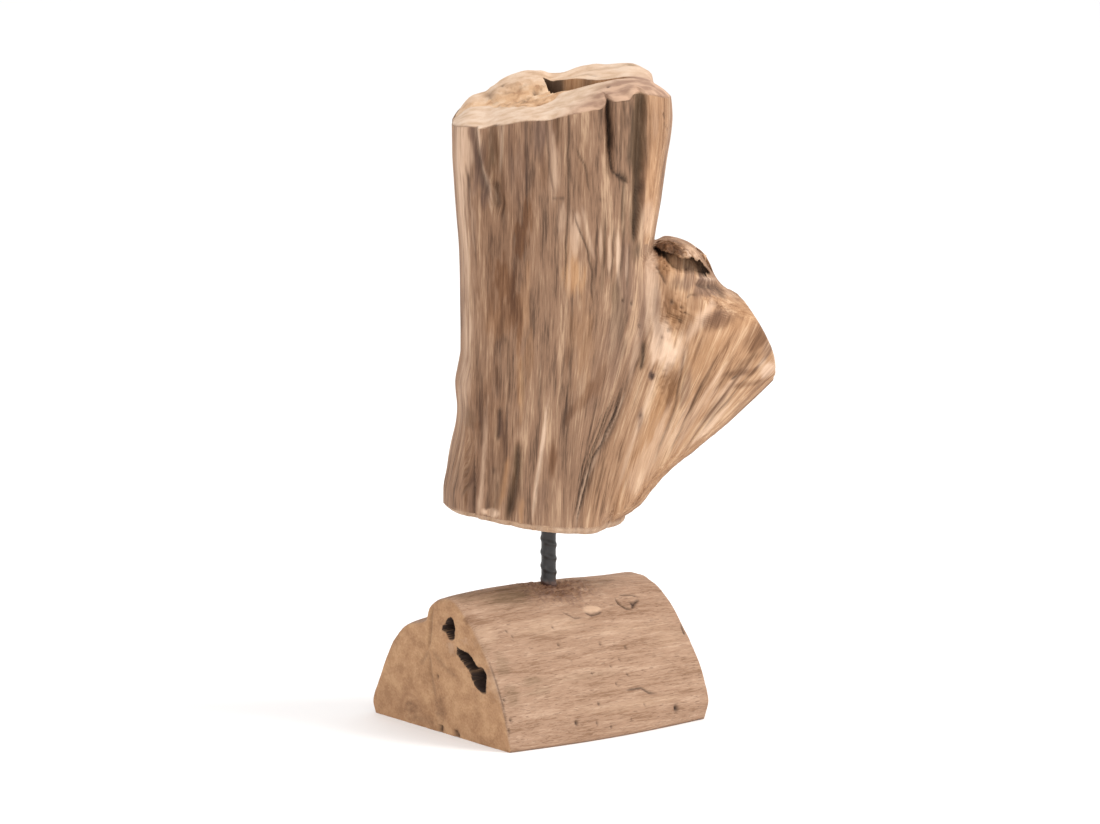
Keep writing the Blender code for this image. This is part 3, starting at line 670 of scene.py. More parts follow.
# %% Slabs that stand a little proud, each between two lines over a range of heights
torn = z + 0.4 * (x - 43) + 1.4 * noise(body / 2 + 40, 8)
strip = ramp(38.4, 39.4, x) * ramp(49.5, 46, x) * ramp(346.2, 347.2, torn)
gouge_line = through((325, 337, 351, 374, 395), (-31, -33.6, -39.7, -42.7, -44), z)
lip = np.exp(-(((x - gouge_line - 0.6) / 1.1) ** 2)) * ramp(326, 334, z)
light_x = through((130, 152, 170, 184, 200), (-10, -8.4, -5.6, -3.2, -1.4), z)
light_line = np.exp(-(((x - light_x) / 1.1) ** 2)) * ramp(207, 190, z)
ridge_x = through((128, 145, 160, 184, 205), (-43.5, -42.5, -40.5, -38.6, -38.8), z)
left_ridge = np.exp(-(((x - ridge_x) / 1.6) ** 2)) * ramp(212, 196, z)
right_lip = groove(flat + wander, ((90, 281.4), (99, 279), (105, 277.6), (107, 274.5), (109.5, 271.5)), 1.3)
proud = (1.4 * strip + 2 * lip + 0.9 * light_line + 1.2 * left_ridge + 1.6 * right_lip) * facing

# %% [markdown]
# ## The hollow under the crust
# Where the limb leaves the trunk, the weathered bark wood arches over a hollow. Its upper rim is the crust
# and its lower rim the limb's smooth wood. A boolean cut would need a separate tool shape and leave the
# mesh ragged. Pushing in the points between the two rims keeps their order, and noise frays the rims.

# %% Hollow between two rims
HOLLOW_DEPTH = 11
CRUST_X = (62, 65.3, 68.3, 73.2, 78, 82.4, 86.8, 91.2, 95, 98.9, 102)
CRUST_Z = (298, 298.2, 297.4, 296.5, 294.8, 292.6, 292.8, 291, 287.5, 284, 282)
LIP_X = (62, 64.7, 67.7, 70.7, 73.3, 75.2, 78.3, 84, 89.4, 91, 94.8, 99.2, 102)
LIP_Z = (298, 297, 295.4, 293.5, 290.5, 288.2, 286.4, 285.2, 284.2, 283, 281.4, 281.6, 282)
sink = 4 * ramp(73, 63, x) * ramp(60, 62.5, x) * ramp(288, 303, z) * ramp(317, 305, z)
jag = 1.1 * noise(body / 2.2 + 40, 5) + 0.5 * noise(body / 1.1 + 40, 6)
over = through(CRUST_X, CRUST_Z, x) - z + sink + 0.7 * jag
under = z - sink - through(LIP_X, LIP_Z, x) + 0.7 * jag
under = under + 0.9 * noise(body / 1.7 + 40, 15) * ramp(78, 74, x)
inside = ramp(-0.2, 0.5, over) * ramp(-0.2, 0.5, under) * ramp(63, 66, x) * ramp(101, 98, x) * facing

# %% [markdown]
# ## Small relief along the grain
# Weathering eats the soft early wood, so the harder rings stand out as fine ridges along the fibres. Three
# noises make them, each stretched many times farther along the fibres than across. A Displace modifier
# could do it with a texture, but these noises follow the bent grain and are worked out only once.

# %% Ridges, and everything put together
seam = through(FURROWS["crease"][0], FURROWS["crease"][1], z)
limb_side = 0.5 * ramp(1, 7, x - seam) + 0.5 * ramp(14, 28, x - seam + 0.12 * np.maximum(z - 190, 0))
limb_side = np.where(z < 303, limb_side, ramp(57.5, 59.5, x))
ridges = 0
for number, (wide, long, high) in enumerate(((7, 80, 0.75), (2.4, 45, 0.32), (1.1, 24, 0.28))):
    ridges = ridges + high * noise(grain / (wide, wide, long) + 40, number)
ridges = ridges * (1 - 0.4 * limb_side) * (0.6 + 0.55 * ramp(270, 205, z))
rough = noise(body / 1.6 + 40, 11) + 0.6 * noise(body / 0.8 + 40, 12)
crust = ramp(103, 97, x) * ramp(62, 65, x) * ramp(0.5, -0.5, over) * ramp(307, 304, z) * facing
left_lip = spot(flat, (71, 290.5), (7, 5)) * facing * ramp(1, -1, under)
pitted = np.maximum(spot(flat, (76, 262), (8, 12)), 0.8 * spot(flat, (72, 217), (7, 13))) * facing
honeycomb = noise(np.stack([x / 1.5, 0 * x, z / 1.8], axis=-1) + 40, 13)
steady = 0.4 + 0.6 * ramp(0, 14, z - root_bottom(x))
by_crotch = np.exp(-(((z - 302) / 8) ** 2)) * ramp(46, 54, x)
flutes = sum(
    deep * np.sin((x + 0.06 * z) * math.tau / width + phase)
    for width, deep, phase in ((46, 1.9, 0.4), (24, 1.1, 2.1), (15, 0.6, 4.0))
)
flutes = flutes * ramp(145, 120, x)
height = (flutes * backing - furrow_depth(x, z) * facing) * steady * (1 - by_crotch)
height = height + ridges * (1 - 0.7 * by_crotch) - crack_depth + proud
lumps = noise(body / 4 + 40, 14)
height = height + (1.1 * rough + 1.4 * lumps + 0.4) * crust + (1.5 * rough + 1.5 * lumps) * left_lip
height = height - 0.9 * pitted * ramp(0.0, 0.6, honeycomb)
shaped = body + out * height[..., None]
shaped[..., 1] += HOLLOW_DEPTH * inside
shaped[..., 2] -= sink
print("Relief from", round(float(height.min()), 2), "to", round(float(height.max()), 2), "mm")

# %% [markdown]
# ## The saw cut across the limb
# A saw takes off all that lies beyond a plane. A bisect would do the same, but would leave long thin faces
# at its edge. Here each point beyond the plane slides straight back onto it. Very near the plane the slide
# starts gently, which sands the edge round by about a millimetre.

# %% Saw cut
CUT_NORMAL = np.array([0.893, 0.302, 0.333])
CUT_DISTANCE = 193.5 / np.linalg.norm(CUT_NORMAL)
CUT_NORMAL = CUT_NORMAL / np.linalg.norm(CUT_NORMAL)
CUT_EDGE = 0.5
beyond = shaped @ CUT_NORMAL - CUT_DISTANCE
shaped = shaped - CUT_NORMAL * (CUT_EDGE * np.logaddexp(0, beyond / CUT_EDGE))[..., None]
sawn = ramp(-1, 1, beyond)
print("Points on the limb's sawn end:", int((beyond > 0).sum()))

# %% [markdown]
# ## Bottom and top
# The bottom is sawn and its edge sanded round. The top is sawn too, but over a rotten heart: a pocket opens
# in it, and a lobe of sound wood stands up behind. Separate caps would show a seam at the rim. So rings of
# points carry the body's own surface on, from the rim inwards, down the pocket's wall and over its floor.

# %% The bottom's rings
BOTTOM_HEART = np.array([-5, 0, 0])
TOP_HEART = np.array([19.2, 4.7, 0])
BOTTOM_ROUNDING = 5
TOP_ROUNDING = 1.2
POCKET_DEPTH = 22


def towards(ring, centre, distance):
    """A ring moved level towards a centre by a distance."""
    way = (centre - ring) * (1, 1, 0)
    return ring + way / np.linalg.norm(way, axis=1, keepdims=True) * distance


def on_bottom(ring, raised):
    """A ring laid on the sawn bottom, or a little above it."""
    return np.column_stack([ring[:, :2], root_bottom(ring[:, 0]) + raised])


foot = shaped[0]
bottom = []
for share in (0.2, 0.45, 0.7, 0.88):
    flat_edge = towards(foot, BOTTOM_HEART, BOTTOM_ROUNDING)
    bottom.append(on_bottom(BOTTOM_HEART + (flat_edge - BOTTOM_HEART) * share, 0))
for angle in np.radians((0, 18, 36, 54, 70)):
    ring = towards(foot, BOTTOM_HEART, BOTTOM_ROUNDING * (1 - math.sin(angle)))
    bottom.append(on_bottom(ring, BOTTOM_ROUNDING * (1 - math.cos(angle))))

# %% The top's height
POCKET = np.array([
    (-4, 30), (0, 15), (3, 3), (16, -2), (31, -6), (45, -9), (55, -10), (45, -2), (31, 10), (19, 19),
    (8, 24),
], float)
BACK_X = (-60, -39, -36, -31, -16, -5, -1.5, 1, 5, 10, 20, 30, 40, 50, 62)
BACK_RISE = (0, 2, 4, 5, 6.6, 6, 4.6, 3.2, 2.7, 2.5, 2.8, 2.6, 2.4, 3.8, 5)


def behind_step(x, y):
    """How far a place of the top lies behind the line where the smooth sanding stops."""
    return y - through((-60, -37, -26, -17, -8, 2, 8), (16, 10, -3, -11.5, -18, -12, -4), x)


TOP_CRACKS = (
    (((-26.3, 1.5), (-17.2, 7), (-8, 10.8), (-1.9, 22)), 0.9, 1.6, 0.5),
    (((-17.1, -6.5), (-11, -9), (-4.9, -11.2), (1.2, -6.9)), 0.8, 1.3, 0.4),
    (((-38.3, 32.4), (-35.1, 24.3), (-33, 15)), 1.6, 2.2, 0.4),
    (((-36.8, 9.6), (-26.3, -3.3), (-17.1, -10.5)), 0.9, 1.1, 0.3),
    (((-30, 20), (-20, 19), (-11, 23)), 0.8, 1.0, 0.35),
    (((-22, 3), (-12, -1), (-4, -3)), 0.7, 0.9, 0.35), (((20, 30), (34, 33), (48, 30)), 0.7, 0.8, 0.3),
    (((46, 37), (50, 30), (55, 27)), 1.2, 1.3, 0.5), (((8, 26), (20, 24.5), (33, 16)), 0.8, 0.9, 0.35),
    (((40, -3), (52, -8)), 0.9, 0.7, 0.35),
)
TOP_PITS = (
    (-8.6, 14.3), (-21.4, 4), (-33.2, 12.8), (-28.4, 28.7), (-14, 2), (-3, 2), (50, 30), (36, -22),
)


def top_marks(x, y):
    """Depth and painted shade of the cracks and pits of the top."""
    places = np.stack([x, y], axis=-1)
    bent = places + 1.2 * noise(np.stack([x, y, 0 * x], axis=-1) / 4 + 40, 46)[..., None]
    return strongest(
        [(groove(bent, line, width, 1.5), *much) for line, width, *much in TOP_CRACKS]
        + [(spot(places, middle, (1, 1.6)), 1.2, 0.8) for middle in TOP_PITS]
    )


def top_height(x, y):
    """The sawn top, with the raised wood along its back, the rough ledges and the step at its right."""
    back = through(BACK_X, BACK_RISE, x) * ramp(10, 26, y)
    step = 7.5 * ramp(63.5, 65, x) * ramp(-15, 20, y)
    places = np.stack([x, y, 0 * x], axis=-1)
    behind = behind_step(x, y) + 2 * noise(places / 5 + 40, 41)
    ledge = ramp(0, 2, behind) * ramp(6, 2, x) * ramp(30, 20, y)
    steps = 1.6 * ramp(0, 1, (behind / 9) % 1) - 1.8
    rough = 0.12 * noise(places / 1.5 + 40, 42) + 0.7 * noise(places / (9, 4, 1) + 40, 43)
    worn = 0.5 * noise(places / (16, 16, 1) + 40, 44) + 0.15 * noise(places / 3 + 40, 45)
    return root_top(x, y) + back - step + ledge * (steps + rough) + worn - top_marks(x, y)[0]


def pocket_edge(rim):
    """Where the way from the top's heart to each rim point crosses the pocket's outline."""
    way = rim[:, :2] - TOP_HEART[:2]
    way = way / np.linalg.norm(way, axis=1, keepdims=True)
    reach = np.zeros(len(rim))
    for a, b in zip(POCKET, np.roll(POCKET, -1, axis=0)):
        a, b = a - TOP_HEART[:2], b - a
        across = way[:, 0] * b[1] - way[:, 1] * b[0]
        across = np.where(np.abs(across) < 1e-9, 1e-9, across)
        far = (a[0] * b[1] - a[1] * b[0]) / across
        share = (a[0] * way[:, 1] - a[1] * way[:, 0]) / across
        hit = (share >= -1e-6) & (share <= 1 + 1e-6) & (far > 0)
        reach = np.where(hit, far, reach)
    return TOP_HEART[:2] + way * reach[:, None]


# %% The top's rings
rim = shaped[-1]
top = []
for angle in np.radians((25, 45, 65, 90)):
    ring = towards(rim, TOP_HEART, TOP_ROUNDING * (1 - math.cos(angle)))[:, :2]
    sanded = worn_rim(ring[:, 0]) + TOP_ROUNDING * (1 - math.sin(angle))
    top.append(np.column_stack([ring, top_height(ring[:, 0], ring[:, 1]) - sanded]))
edge = towards(rim, TOP_HEART, TOP_ROUNDING)[:, :2]
mouth = pocket_edge(rim)
for share in np.linspace(0, 1, 29)[1:]:
    ring = edge + (mouth - edge) * share
    worn = worn_rim(ring[:, 0]) * np.exp(-np.linalg.norm(ring - edge, axis=1) / 2.5)
    top.append(np.column_stack([ring, top_height(ring[:, 0], ring[:, 1]) - worn]))
POCKET_RINGS = (
    (0.996, 0.02), (0.985, 0.1), (0.96, 0.3), (0.93, 0.5), (0.9, 0.65), (0.8, 0.9), (0.7, 1), (0.4, 1),
    (0.15, 1),
)
for share, deep in POCKET_RINGS:
    ring = TOP_HEART[:2] + (mouth - TOP_HEART[:2]) * share
    top.append(np.column_stack([ring, top_height(ring[:, 0], ring[:, 1]) - POCKET_DEPTH * deep]))
print("Rings under and over the body:", len(bottom), "and", len(top))

# %% One closed root
rows = np.concatenate([bottom, shaped, top])
fibres = np.concatenate([grain_of(np.array(bottom)), grain, grain_of(np.array(top))])

# %% [markdown]
# ## Painting the root
# Colour follows the wood's history, and in places the light. Brown and violet stains run down the fibres,
# the limb's inner wood is golden, what was sanded last is pale, and deep places get painted shade, as do
# some violet and olive marks by lips and in a gouge. They could be painted by hand on an image.
# Here each stain is an ellipse or a bent line on the front, frayed along the fibres by noise, so it stays
# sharp and can be moved by a number. Their strengths become marks that the material reads.

# %% Stains, some of them painted shade: x, z, half width, half height, lean and strength of each ellipse
STAINS = {
    "brown": (
        (-12, 323, 3.4, 12, 0, 0.9), (-16.5, 308, 4.4, 12, 0, 1.0), (-26, 283, 7, 17, 0, 0.9),
        (-36, 293, 3.5, 9, 0, 0.5), (-29, 264, 9, 16, 0, 0.6), (-18, 243, 2, 24, 0, 0.9),
        (-20, 262, 6, 16, 0, 0.7), (2.6, 174, 3, 13, 0.1, 0.7), (24, 214, 3.5, 11, 0.5, 0.5),
        (16, 205, 3, 9, 0.5, 0.4), (5.4, 375, 2.6, 9, 0, 0.6), (-31.5, 222, 1.6, 12, 0, 0.6),
        (-28, 300, 3, 10, 0, 0.3), (31, 222, 4, 16, 0.35, 0.4), (61, 366, 1.6, 18, 0, 0.5),
        (-21, 366, 3, 14, 0, 0.3), (57, 338, 2, 22, 0.08, 0.5), (11, 236, 2, 8, 0.1, 0.4),
        (-3, 352, 4, 14, 0, 0.3), (21, 352, 6, 20, 0, 0.2), (105, 255, 9, 5, 0.8, 0.55),
        (128, 243, 7, 9, 0.6, 0.6), (118, 224, 12, 3.4, 1.2, 0.55), (90, 268, 9, 5, 0.3, 0.3),
        (74, 266, 7, 10, 0, 0.5), (75, 301, 9, 6, -0.2, 1.0), (67, 301, 5, 6, 0, 1.0),
        (-30, 300, 20, 80, 0, 0.3), (-38, 190, 16, 50, 0, 0.36), (71, 390, 3, 12, 0, 0.35),
        (70, 345, 3, 26, 0, 0.4), (64, 372, 7, 22, 0, 0.3), (102, 257, 7, 4, 0.9, 0.5),
        (126, 247, 7, 9, 0.7, 0.5), (120, 216, 12, 2.6, 1.2, 0.5), (80, 256, 6, 10, 0, 0.5),
        (73, 218, 5, 14, 0.2, 0.5), (-45, 210, 3, 12, 0, 0.3), (-44, 192, 5, 4, 0, 0.5),
        (34, 300, 4, 12, 0, 0.25), (58, 134, 7, 5, 0.8, 0.4),
    ),
    "violet_and_shade": (
        # Violet is mostly the wood's own purple-brown, but the ellipses by the left gouge's groove, at (-42,
        # 352) and (-38, 336), and under the limb's right lip, at (97, 273), (97, 277) and (84, 280), are
        # painted shade.
        (-5, 371, 7, 16, 0, 0.6), (-42, 352, 2.6, 16, 0.2, 0.7), (-38, 336, 3, 9, 0.25, 0.9),
        (-20, 350, 7, 22, 0, 0.35), (-29.8, 193, 1.7, 8, 0, 0.9), (-61, 190, 5, 16, 0, 0.6),
        (-34, 168, 5, 16, 0, 0.3), (103, 257, 9, 5, 0.6, 0.5), (97, 273, 11, 4.5, -0.5, 0.6),
        (97, 277, 9, 6, -0.6, 0.7), (84, 280, 8, 6, 0, 0.5), (56, 197, 2.4, 7, 0.1, 0.5),
        (84, 215, 3, 14, 0.2, 0.45), (101, 201, 6, 12, 0.8, 0.35), (62.9, 223.4, 1.8, 2.6, 0, 0.9),
        (134, 240, 5, 8, 0.3, 0.5), (47, 285, 5, 26, 0, 0.45), (-46, 150, 3, 18, 0.1, 0.4),
        (66, 262, 3, 20, -0.05, 0.35), (57, 262, 3.4, 22, 0, 0.45), (40, 246, 6, 26, 0.15, 0.35),
    ),
    "olive": (
        (53.4, 366, 5.4, 38, 0, 0.85), (52.6, 326, 3.6, 24, 0.1, 0.7), (-23, 152, 2.6, 22, 0.14, 0.4),
        # The ellipse at (-33, 365) is painted shade in the left gouge beside its lip.
        (-48, 196, 4, 8, 0, 0.4), (42, 264, 5, 20, -0.1, 0.6), (-33, 365, 4, 15, 0, 0.45),
        (-33, 160, 6, 20, 0.05, 0.35), (45, 345, 3, 9, 0, 0.3), (45.6, 372, 4, 26, 0, 0.15),
        (88, 288, 8, 5, -0.3, 0.5), (-16, 224, 1.5, 18, 0, 0.4), (80, 278, 7, 5, 0, 0.3),
        (52.5, 300, 3, 8, 0, 0.4),
    ),
    "honey": (
        (16, 286, 6, 14, 0, 0.8), (-30, 257, 8, 9, 0, 0.35), (-17, 141, 1.4, 9, 0, 0.5),
        (-27.4, 157, 1.6, 14, 0.15, 0.6), (-16.8, 222, 1.8, 20, 0, 0.6), (66, 365, 5, 14, 0, 0.3),
        (63, 350, 4, 20, 0, 0.3), (77, 260, 7, 12, 0, 0.8), (70, 208, 8, 18, 0.2, 0.8),
        (76, 253, 3, 4, 0, 0.6), (20, 250, 8, 30, 0, 0.25), (118, 256, 12, 8, 0.5, 0.5),
        (60, 180, 6, 20, 0.4, 0.5), (94, 234, 8, 18, 0.7, 0.4), (75, 160, 12, 20, 0.9, 0.4),
        (14, 300, 5, 12, 0, 0.3), (71, 289, 6, 6, 0, 0.6), (-15, 262, 3, 20, 0, 0.3),
        (90, 298, 8, 7, -0.6, 0.6), (-12, 238, 3, 14, 0, 0.25),
    ),
    "pale": (
        (70, 243, 7.5, 17, -0.15, 1.0), (64, 270, 4.5, 32, -0.06, 0.55),
        (60.5, 262, 2.5, 30, -0.04, 0.3), (92, 256, 4, 16, 0.7, 0.5), (-39.6, 172, 1.3, 34, 0.06, 0.6),
        (-5, 174, 1.1, 32, 0.13, 0.7), (-40, 352, 1.0, 24, -0.2, 0.7), (31.6, 306, 1.2, 14, 0, 0.5),
        (36.6, 299, 1.2, 14, 0, 0.6), (42.2, 300, 1.2, 15, 0, 0.6), (47.6, 291, 1.1, 12, 0, 0.5),
        (17, 312, 4, 14, 0, 0.45), (-36, 140, 6, 2.4, -0.8, 0.9), (64, 376, 2, 10, 0, 0.2),
        (134, 225, 5, 6, 0, 0.9), (60, 318, 4, 12, 0, 0.35), (90, 296, 7, 5, -0.7, 0.9),
        (52, 236, 3, 20, 0.2, 0.3), (80, 240, 4, 12, 0, 0.5), (99, 190, 4, 14, 0.9, 0.5),
        (108, 214, 3, 14, 0.9, 0.35), (68, 190, 3, 16, 0.4, 0.35), (3, 352, 3, 18, 0, 0.25),
        (8, 320, 3, 12, 0, 0.3), (-58, 330, 11, 90, 0, 0.66), (-57, 240, 9, 50, 0, 0.55),
        (-41, 378, 3.4, 3, 0, 0.7), (72, 240, 7, 12, -0.2, 1.0), (62, 172, 8, 26, 0.55, 0.3),
        (86, 196, 8, 24, 0.8, 0.3),
    ),
}

# %% Streaks, some of them painted shade: the line, the width and the strength of each
STREAKS = {
    "pale": (
        (((-44, 394), (-42.7, 374), (-39.7, 351), (-35.5, 337), (-32.5, 327)), 0.9, 1.0),
        (((90, 281.4), (99, 279), (105, 277.6), (107, 274.5), (110, 270.5), (116, 266.5)), 1.0, 1.0),
        (((42, 208), (35, 189), (29, 175), (24, 160)), 0.6, 0.6),
        (((47, 214), (40, 196), (34, 182)), 0.6, 0.5), (((-36, 394), (-35, 362)), 1.0, 0.3),
        (((-28, 394), (-28.4, 362), (-30, 345)), 1.1, 0.5),
        (((-38.8, 205), (-38.6, 184), (-40.5, 160), (-42.5, 145), (-43.5, 134)), 1.3, 0.8),
        (((-1.4, 204), (-3.2, 184), (-5.6, 170), (-8.4, 152), (-10, 134)), 1.0, 0.9),
        (((3, 384), (3.4, 356), (4, 336)), 2.2, 0.5),
        (((13.6, 330), (13, 300), (12.4, 272)), 1.0, 0.35),
        (((20, 330), (24, 312), (27.6, 296)), 1.2, 0.35),
        (((24.6, 168), (19.6, 150), (16.5, 130)), 0.9, 0.5),
        (((34.5, 189), (29.6, 176), (25.5, 163)), 0.9, 0.5),
        (((58.6, 394), (57.8, 367), (56.6, 343)), 0.7, 0.5),
        (((62, 300), (60.5, 270), (59.5, 246)), 1.4, 0.6),
        (((67, 232), (62, 214), (56, 196), (48, 172), (42, 150)), 1.3, 0.45),
        (((110, 232), (96, 212), (84, 190), (76, 172)), 1.2, 0.5),
        (((126, 232), (110, 212), (96, 192)), 1.2, 0.4),
        (((72, 196), (66, 180), (60, 164), (54, 146)), 1.2, 0.45),
        (((-60, 140), (-50, 137.5), (-40, 136), (-20, 132)), 1.0, 0.35),
    ),
    "violet_and_shade": (
        # The first streak, beside the left gouge's lip, and the third, under the limb's right lip, are
        # painted shade.
        (((-46.5, 390), (-45.8, 372), (-43.2, 355), (-39.5, 342), (-36.5, 331)), 2.2, 0.9),
        (((-31, 226), (-30.2, 208)), 1.0, 0.4),
        (((88, 278.4), (98, 275.6), (103, 274), (105.5, 271), (109, 267)), 1.7, 0.9),
        (((-7, 394), (-6.6, 376), (-5.8, 358)), 2.4, 0.6),
        (((-14, 390), (-13.6, 360), (-13.2, 335)), 1.4, 0.4), (((-22, 388), (-22, 360)), 1.6, 0.35),
        (((33, 244), (30, 222), (24, 200)), 2.4, 0.3), (((-2, 160), (-5, 145), (-7, 132)), 2.6, 0.3),
    ),
    "olive": (
        # The first streak is painted shade in the left gouge beside its lip.
        (((-34.5, 392), (-33.6, 368), (-32.4, 346)), 3.4, 0.7),
        (((-18.8, 184), (-19.8, 166), (-22.6, 150), (-26, 134)), 2.0, 0.9),
        (((53.6, 396), (53.4, 350), (51.4, 306)), 3.4, 1.0),
        (((44.5, 300), (43, 280), (40, 250), (37, 230)), 1.8, 0.5),
        (((34, 330), (33.4, 300), (32, 270)), 1.2, 0.4), (((45, 346), (46, 322), (45, 306)), 1.5, 0.5),
        (((-24, 248), (-24.6, 220)), 1.2, 0.3), (((57.8, 246), (57.4, 236), (56.4, 227)), 1.6, 0.8),
    ),
    "brown": (
        (((-46, 340), (-46.5, 318)), 1.0, 0.3), (((-19.4, 262), (-18.6, 240), (-18.4, 205)), 1.0, 0.7),
        (((5.2, 390), (5.4, 376), (5, 362)), 2.0, 0.7),
        (((61, 394), (60.6, 370), (59.4, 345)), 1.3, 0.5),
        (((56.4, 345), (55, 325), (52.8, 304)), 1.2, 0.9),
        (((28.5, 223), (23.6, 214), (16.5, 205)), 2.2, 0.6),
        (((3.2, 186), (2.2, 172), (1.2, 160)), 1.8, 0.6),
        (((104.9, 238.2), (92.7, 216.9), (83.7, 195.1)), 1.0, 0.5),
        (((130.8, 243.1), (114.2, 219.5), (96.1, 194.1)), 1.0, 0.5),
        (((83, 244), (79.4, 216), (72, 190)), 1.2, 0.45),
        (((138, 226), (124, 208), (110, 190)), 1.4, 0.4),
        (((96, 268), (108, 262), (122, 254)), 1.2, 0.4), (((88, 262), (84, 246)), 1.6, 0.4),
        (((-50.4, 190), (-50.8, 165), (-50.6, 137)), 0.8, 0.7),
    ),
    "honey": (
        (((-16.8, 238), (-16.9, 222), (-17, 203)), 1.5, 0.8),
        (((-15.6, 150), (-16.4, 142), (-17, 130)), 1.2, 0.6),
        (((-24.6, 176), (-26.4, 162), (-28.6, 146)), 1.6, 0.7),
        (((66, 392), (64.6, 360), (62, 325)), 3.5, 0.25), (((-12.6, 300), (-12.8, 250)), 1.4, 0.35),
    ),
}
fray = 0.45 * noise(fibres / (2.4, 2.4, 18) + 40, 51) + 0.3 * noise(fibres / (1.1, 1.1, 7) + 40, 52)
off_body = np.zeros((len(bottom), len(columns))), np.zeros((len(top), len(columns)))
to_front = np.concatenate([off_body[0], facing, off_body[1]])


def stained(kind):
    """Strength of one kind of stain or painted shade at every point: the strongest of its ellipses there."""
    strength = np.zeros(rows.shape[:2])
    for cx, cz, wide, tall, lean, much in STAINS[kind]:
        up = (rows[..., 2] - cz) / tall
        aside = (rows[..., 0] - cx - lean * (rows[..., 2] - cz)) / wide
        strength = np.maximum(strength, 1.25 * much * ramp(1.25, 0.35, np.hypot(aside, up) + fray))
    for line, width, much in STREAKS[kind]:
        strength = np.maximum(strength, much * groove(rows[..., (0, 2)], line, width * (1 + 0.6 * fray)))
    return np.clip(strength, 0, 1) * to_front


def whole(at_bottom, on_body, at_top):
    """One value for every point, from what the bottom, the body and the top have."""
    low = np.full((len(bottom), len(columns)), at_bottom)
    high = np.broadcast_to(at_top, (len(top), len(columns)))
    return np.concatenate([low, on_body, high])


# Painted shade: the hollow under the crust is darkened, more at its two ends than in its middle, and so are
# the low spots of the crust's recessed left half.
ends = np.maximum(ramp(76, 70, x), ramp(90, 96, x))
hollow_shade = ramp(0, 0.5, inside) * (0.3 + 0.65 * ends)
crust_shade = 0.6 * crust * ramp(87, 79, x) * ramp(-0.5, 0.9, -rough)
top_rows = np.array(top)
ledges = ramp(0, 2, behind_step(top_rows[..., 0], top_rows[..., 1])) * ramp(30, 12, top_rows[..., 0])
ledges = ledges * (1 - 0.65 * ramp(16, 27, top_rows[..., 1]))
pocket = slice(-len(POCKET_RINGS), None)
# Painted shade in the pocket: dark on its left wall, with a darker patch on its back wall.
pocket_shade = np.zeros((len(top), len(columns)))
pocket_shade[pocket] = 0.9 * ramp(12, 7, top_rows[pocket, :, 0])
pocket_shade[pocket] += 0.5 * spot(top_rows[pocket, :, :2], (24, 14), (4, 6))
by_rim = np.ones((len(top), len(columns)))
by_rim[:3] = np.array([0.25, 0.6, 0.9])[:, None]
top_recess_shade = np.maximum(pocket_shade, top_marks(top_rows[..., 0], top_rows[..., 1])[1])
crumbly = 0.9 * pitted * ramp(-0.3, 0.5, honeycomb)
crumbly = crumbly + 0.8 * np.maximum(crust, left_lip) * ramp(-0.1, 0.8, -rough)
marks = {
    "grain": fibres,
    # The dark mark is painted shade: in cracks, pits, the hollow, the crust and the pocket.
    "dark": whole(0.0, np.maximum(np.maximum(painted_recess_shade, hollow_shade), crust_shade), top_recess_shade),
    "sawn": whole(0.45, sawn, by_rim),
    "worn": whole(0.0, 0 * x, ramp(34, 60, top_rows[..., 0] - 0.8 * top_rows[..., 1]) * (pocket_shade < 0.1)),
    "limb": whole(0.3, 0.7 * limb_side * facing + 0.4 * backing, 0.0),
    "ledge": whole(0.0, 0 * x, ledges * (pocket_shade < 0.1)),
    "pitted": whole(0.0, crumbly, 0.0),
}
for kind in STAINS:
    marks[kind] = stained(kind)
marks["honey"][pocket] = 1
print("Marks on the root:", ", ".join(marks))

# %% [markdown]
# ## The root's finish
# Raw teak, sanded but not oiled, is matt. A Wave texture would draw even bands, and this wood has none. So
# its colour is built from streaks at four scales along the fibres, run through a palette from dark to
# light. The marks then tint it and paint shade into its cracks and hollows, and a fine bump keeps the finest
# fibres.

# %% Root wood
root_wood, shader, wire = raw_wood("Root wood", 0.72)
broad, middling = wire.streaks(6, 60), wire.streaks(2.2, 38)
fine, hair = wire.streaks(0.75, 16), wire.streaks(0.36, 6)
tone = (0.42 * broad + 0.18 * middling + 0.24 * fine + 0.16 * hair).stretched()
dark_threads = wire.streaks(0.8, 24, 1.0).ramp(0.58, 0.7)
light_threads = wire.streaks(0.9, 30, 1.0).ramp(0.6, 0.72)
blotch = wire.streaks(8, 8).ramp(0.35, 0.65)
front = tone.palette(seen(90, 66, 50), seen(143, 110, 86), seen(184, 151, 122))
golden = tone.palette(seen(138, 98, 66), seen(190, 147, 110), seen(222, 186, 150))
colour = wire.mark("limb").mix(front, golden)
colour = (0.38 * dark_threads).mix(colour, seen(86, 60, 42))
colour = (0.2 * light_threads).mix(colour, seen(206, 172, 140))
clean = (0.25 * tone + 0.75 * blotch).palette(seen(188, 158, 130), seen(203, 175, 150), seen(212, 188, 166))
clean = (0.9 * wire.mark("worn")).mix(clean, blotch.mix(seen(146, 112, 92), seen(192, 156, 130)))
colour = wire.mark("sawn").mix(colour, clean)
ledge = (0.4 * tone + 0.6 * blotch).palette(seen(160, 118, 84), seen(200, 160, 122), seen(216, 184, 152))
colour = (0.9 * wire.mark("ledge")).mix(colour, ledge)
colour = colour.tinted(tone, {
    "honey": ((146, 104, 70), (192, 148, 108)), "pale": ((192, 156, 128), (236, 205, 178)),
    "olive": ((78, 59, 43), (112, 88, 66)), "violet_and_shade": ((88, 64, 52), (134, 105, 88)),
    "brown": ((82, 52, 32), (132, 92, 62)),
})
colour = (0.75 * wire.mark("pitted")).mix(colour, seen(112, 74, 42))
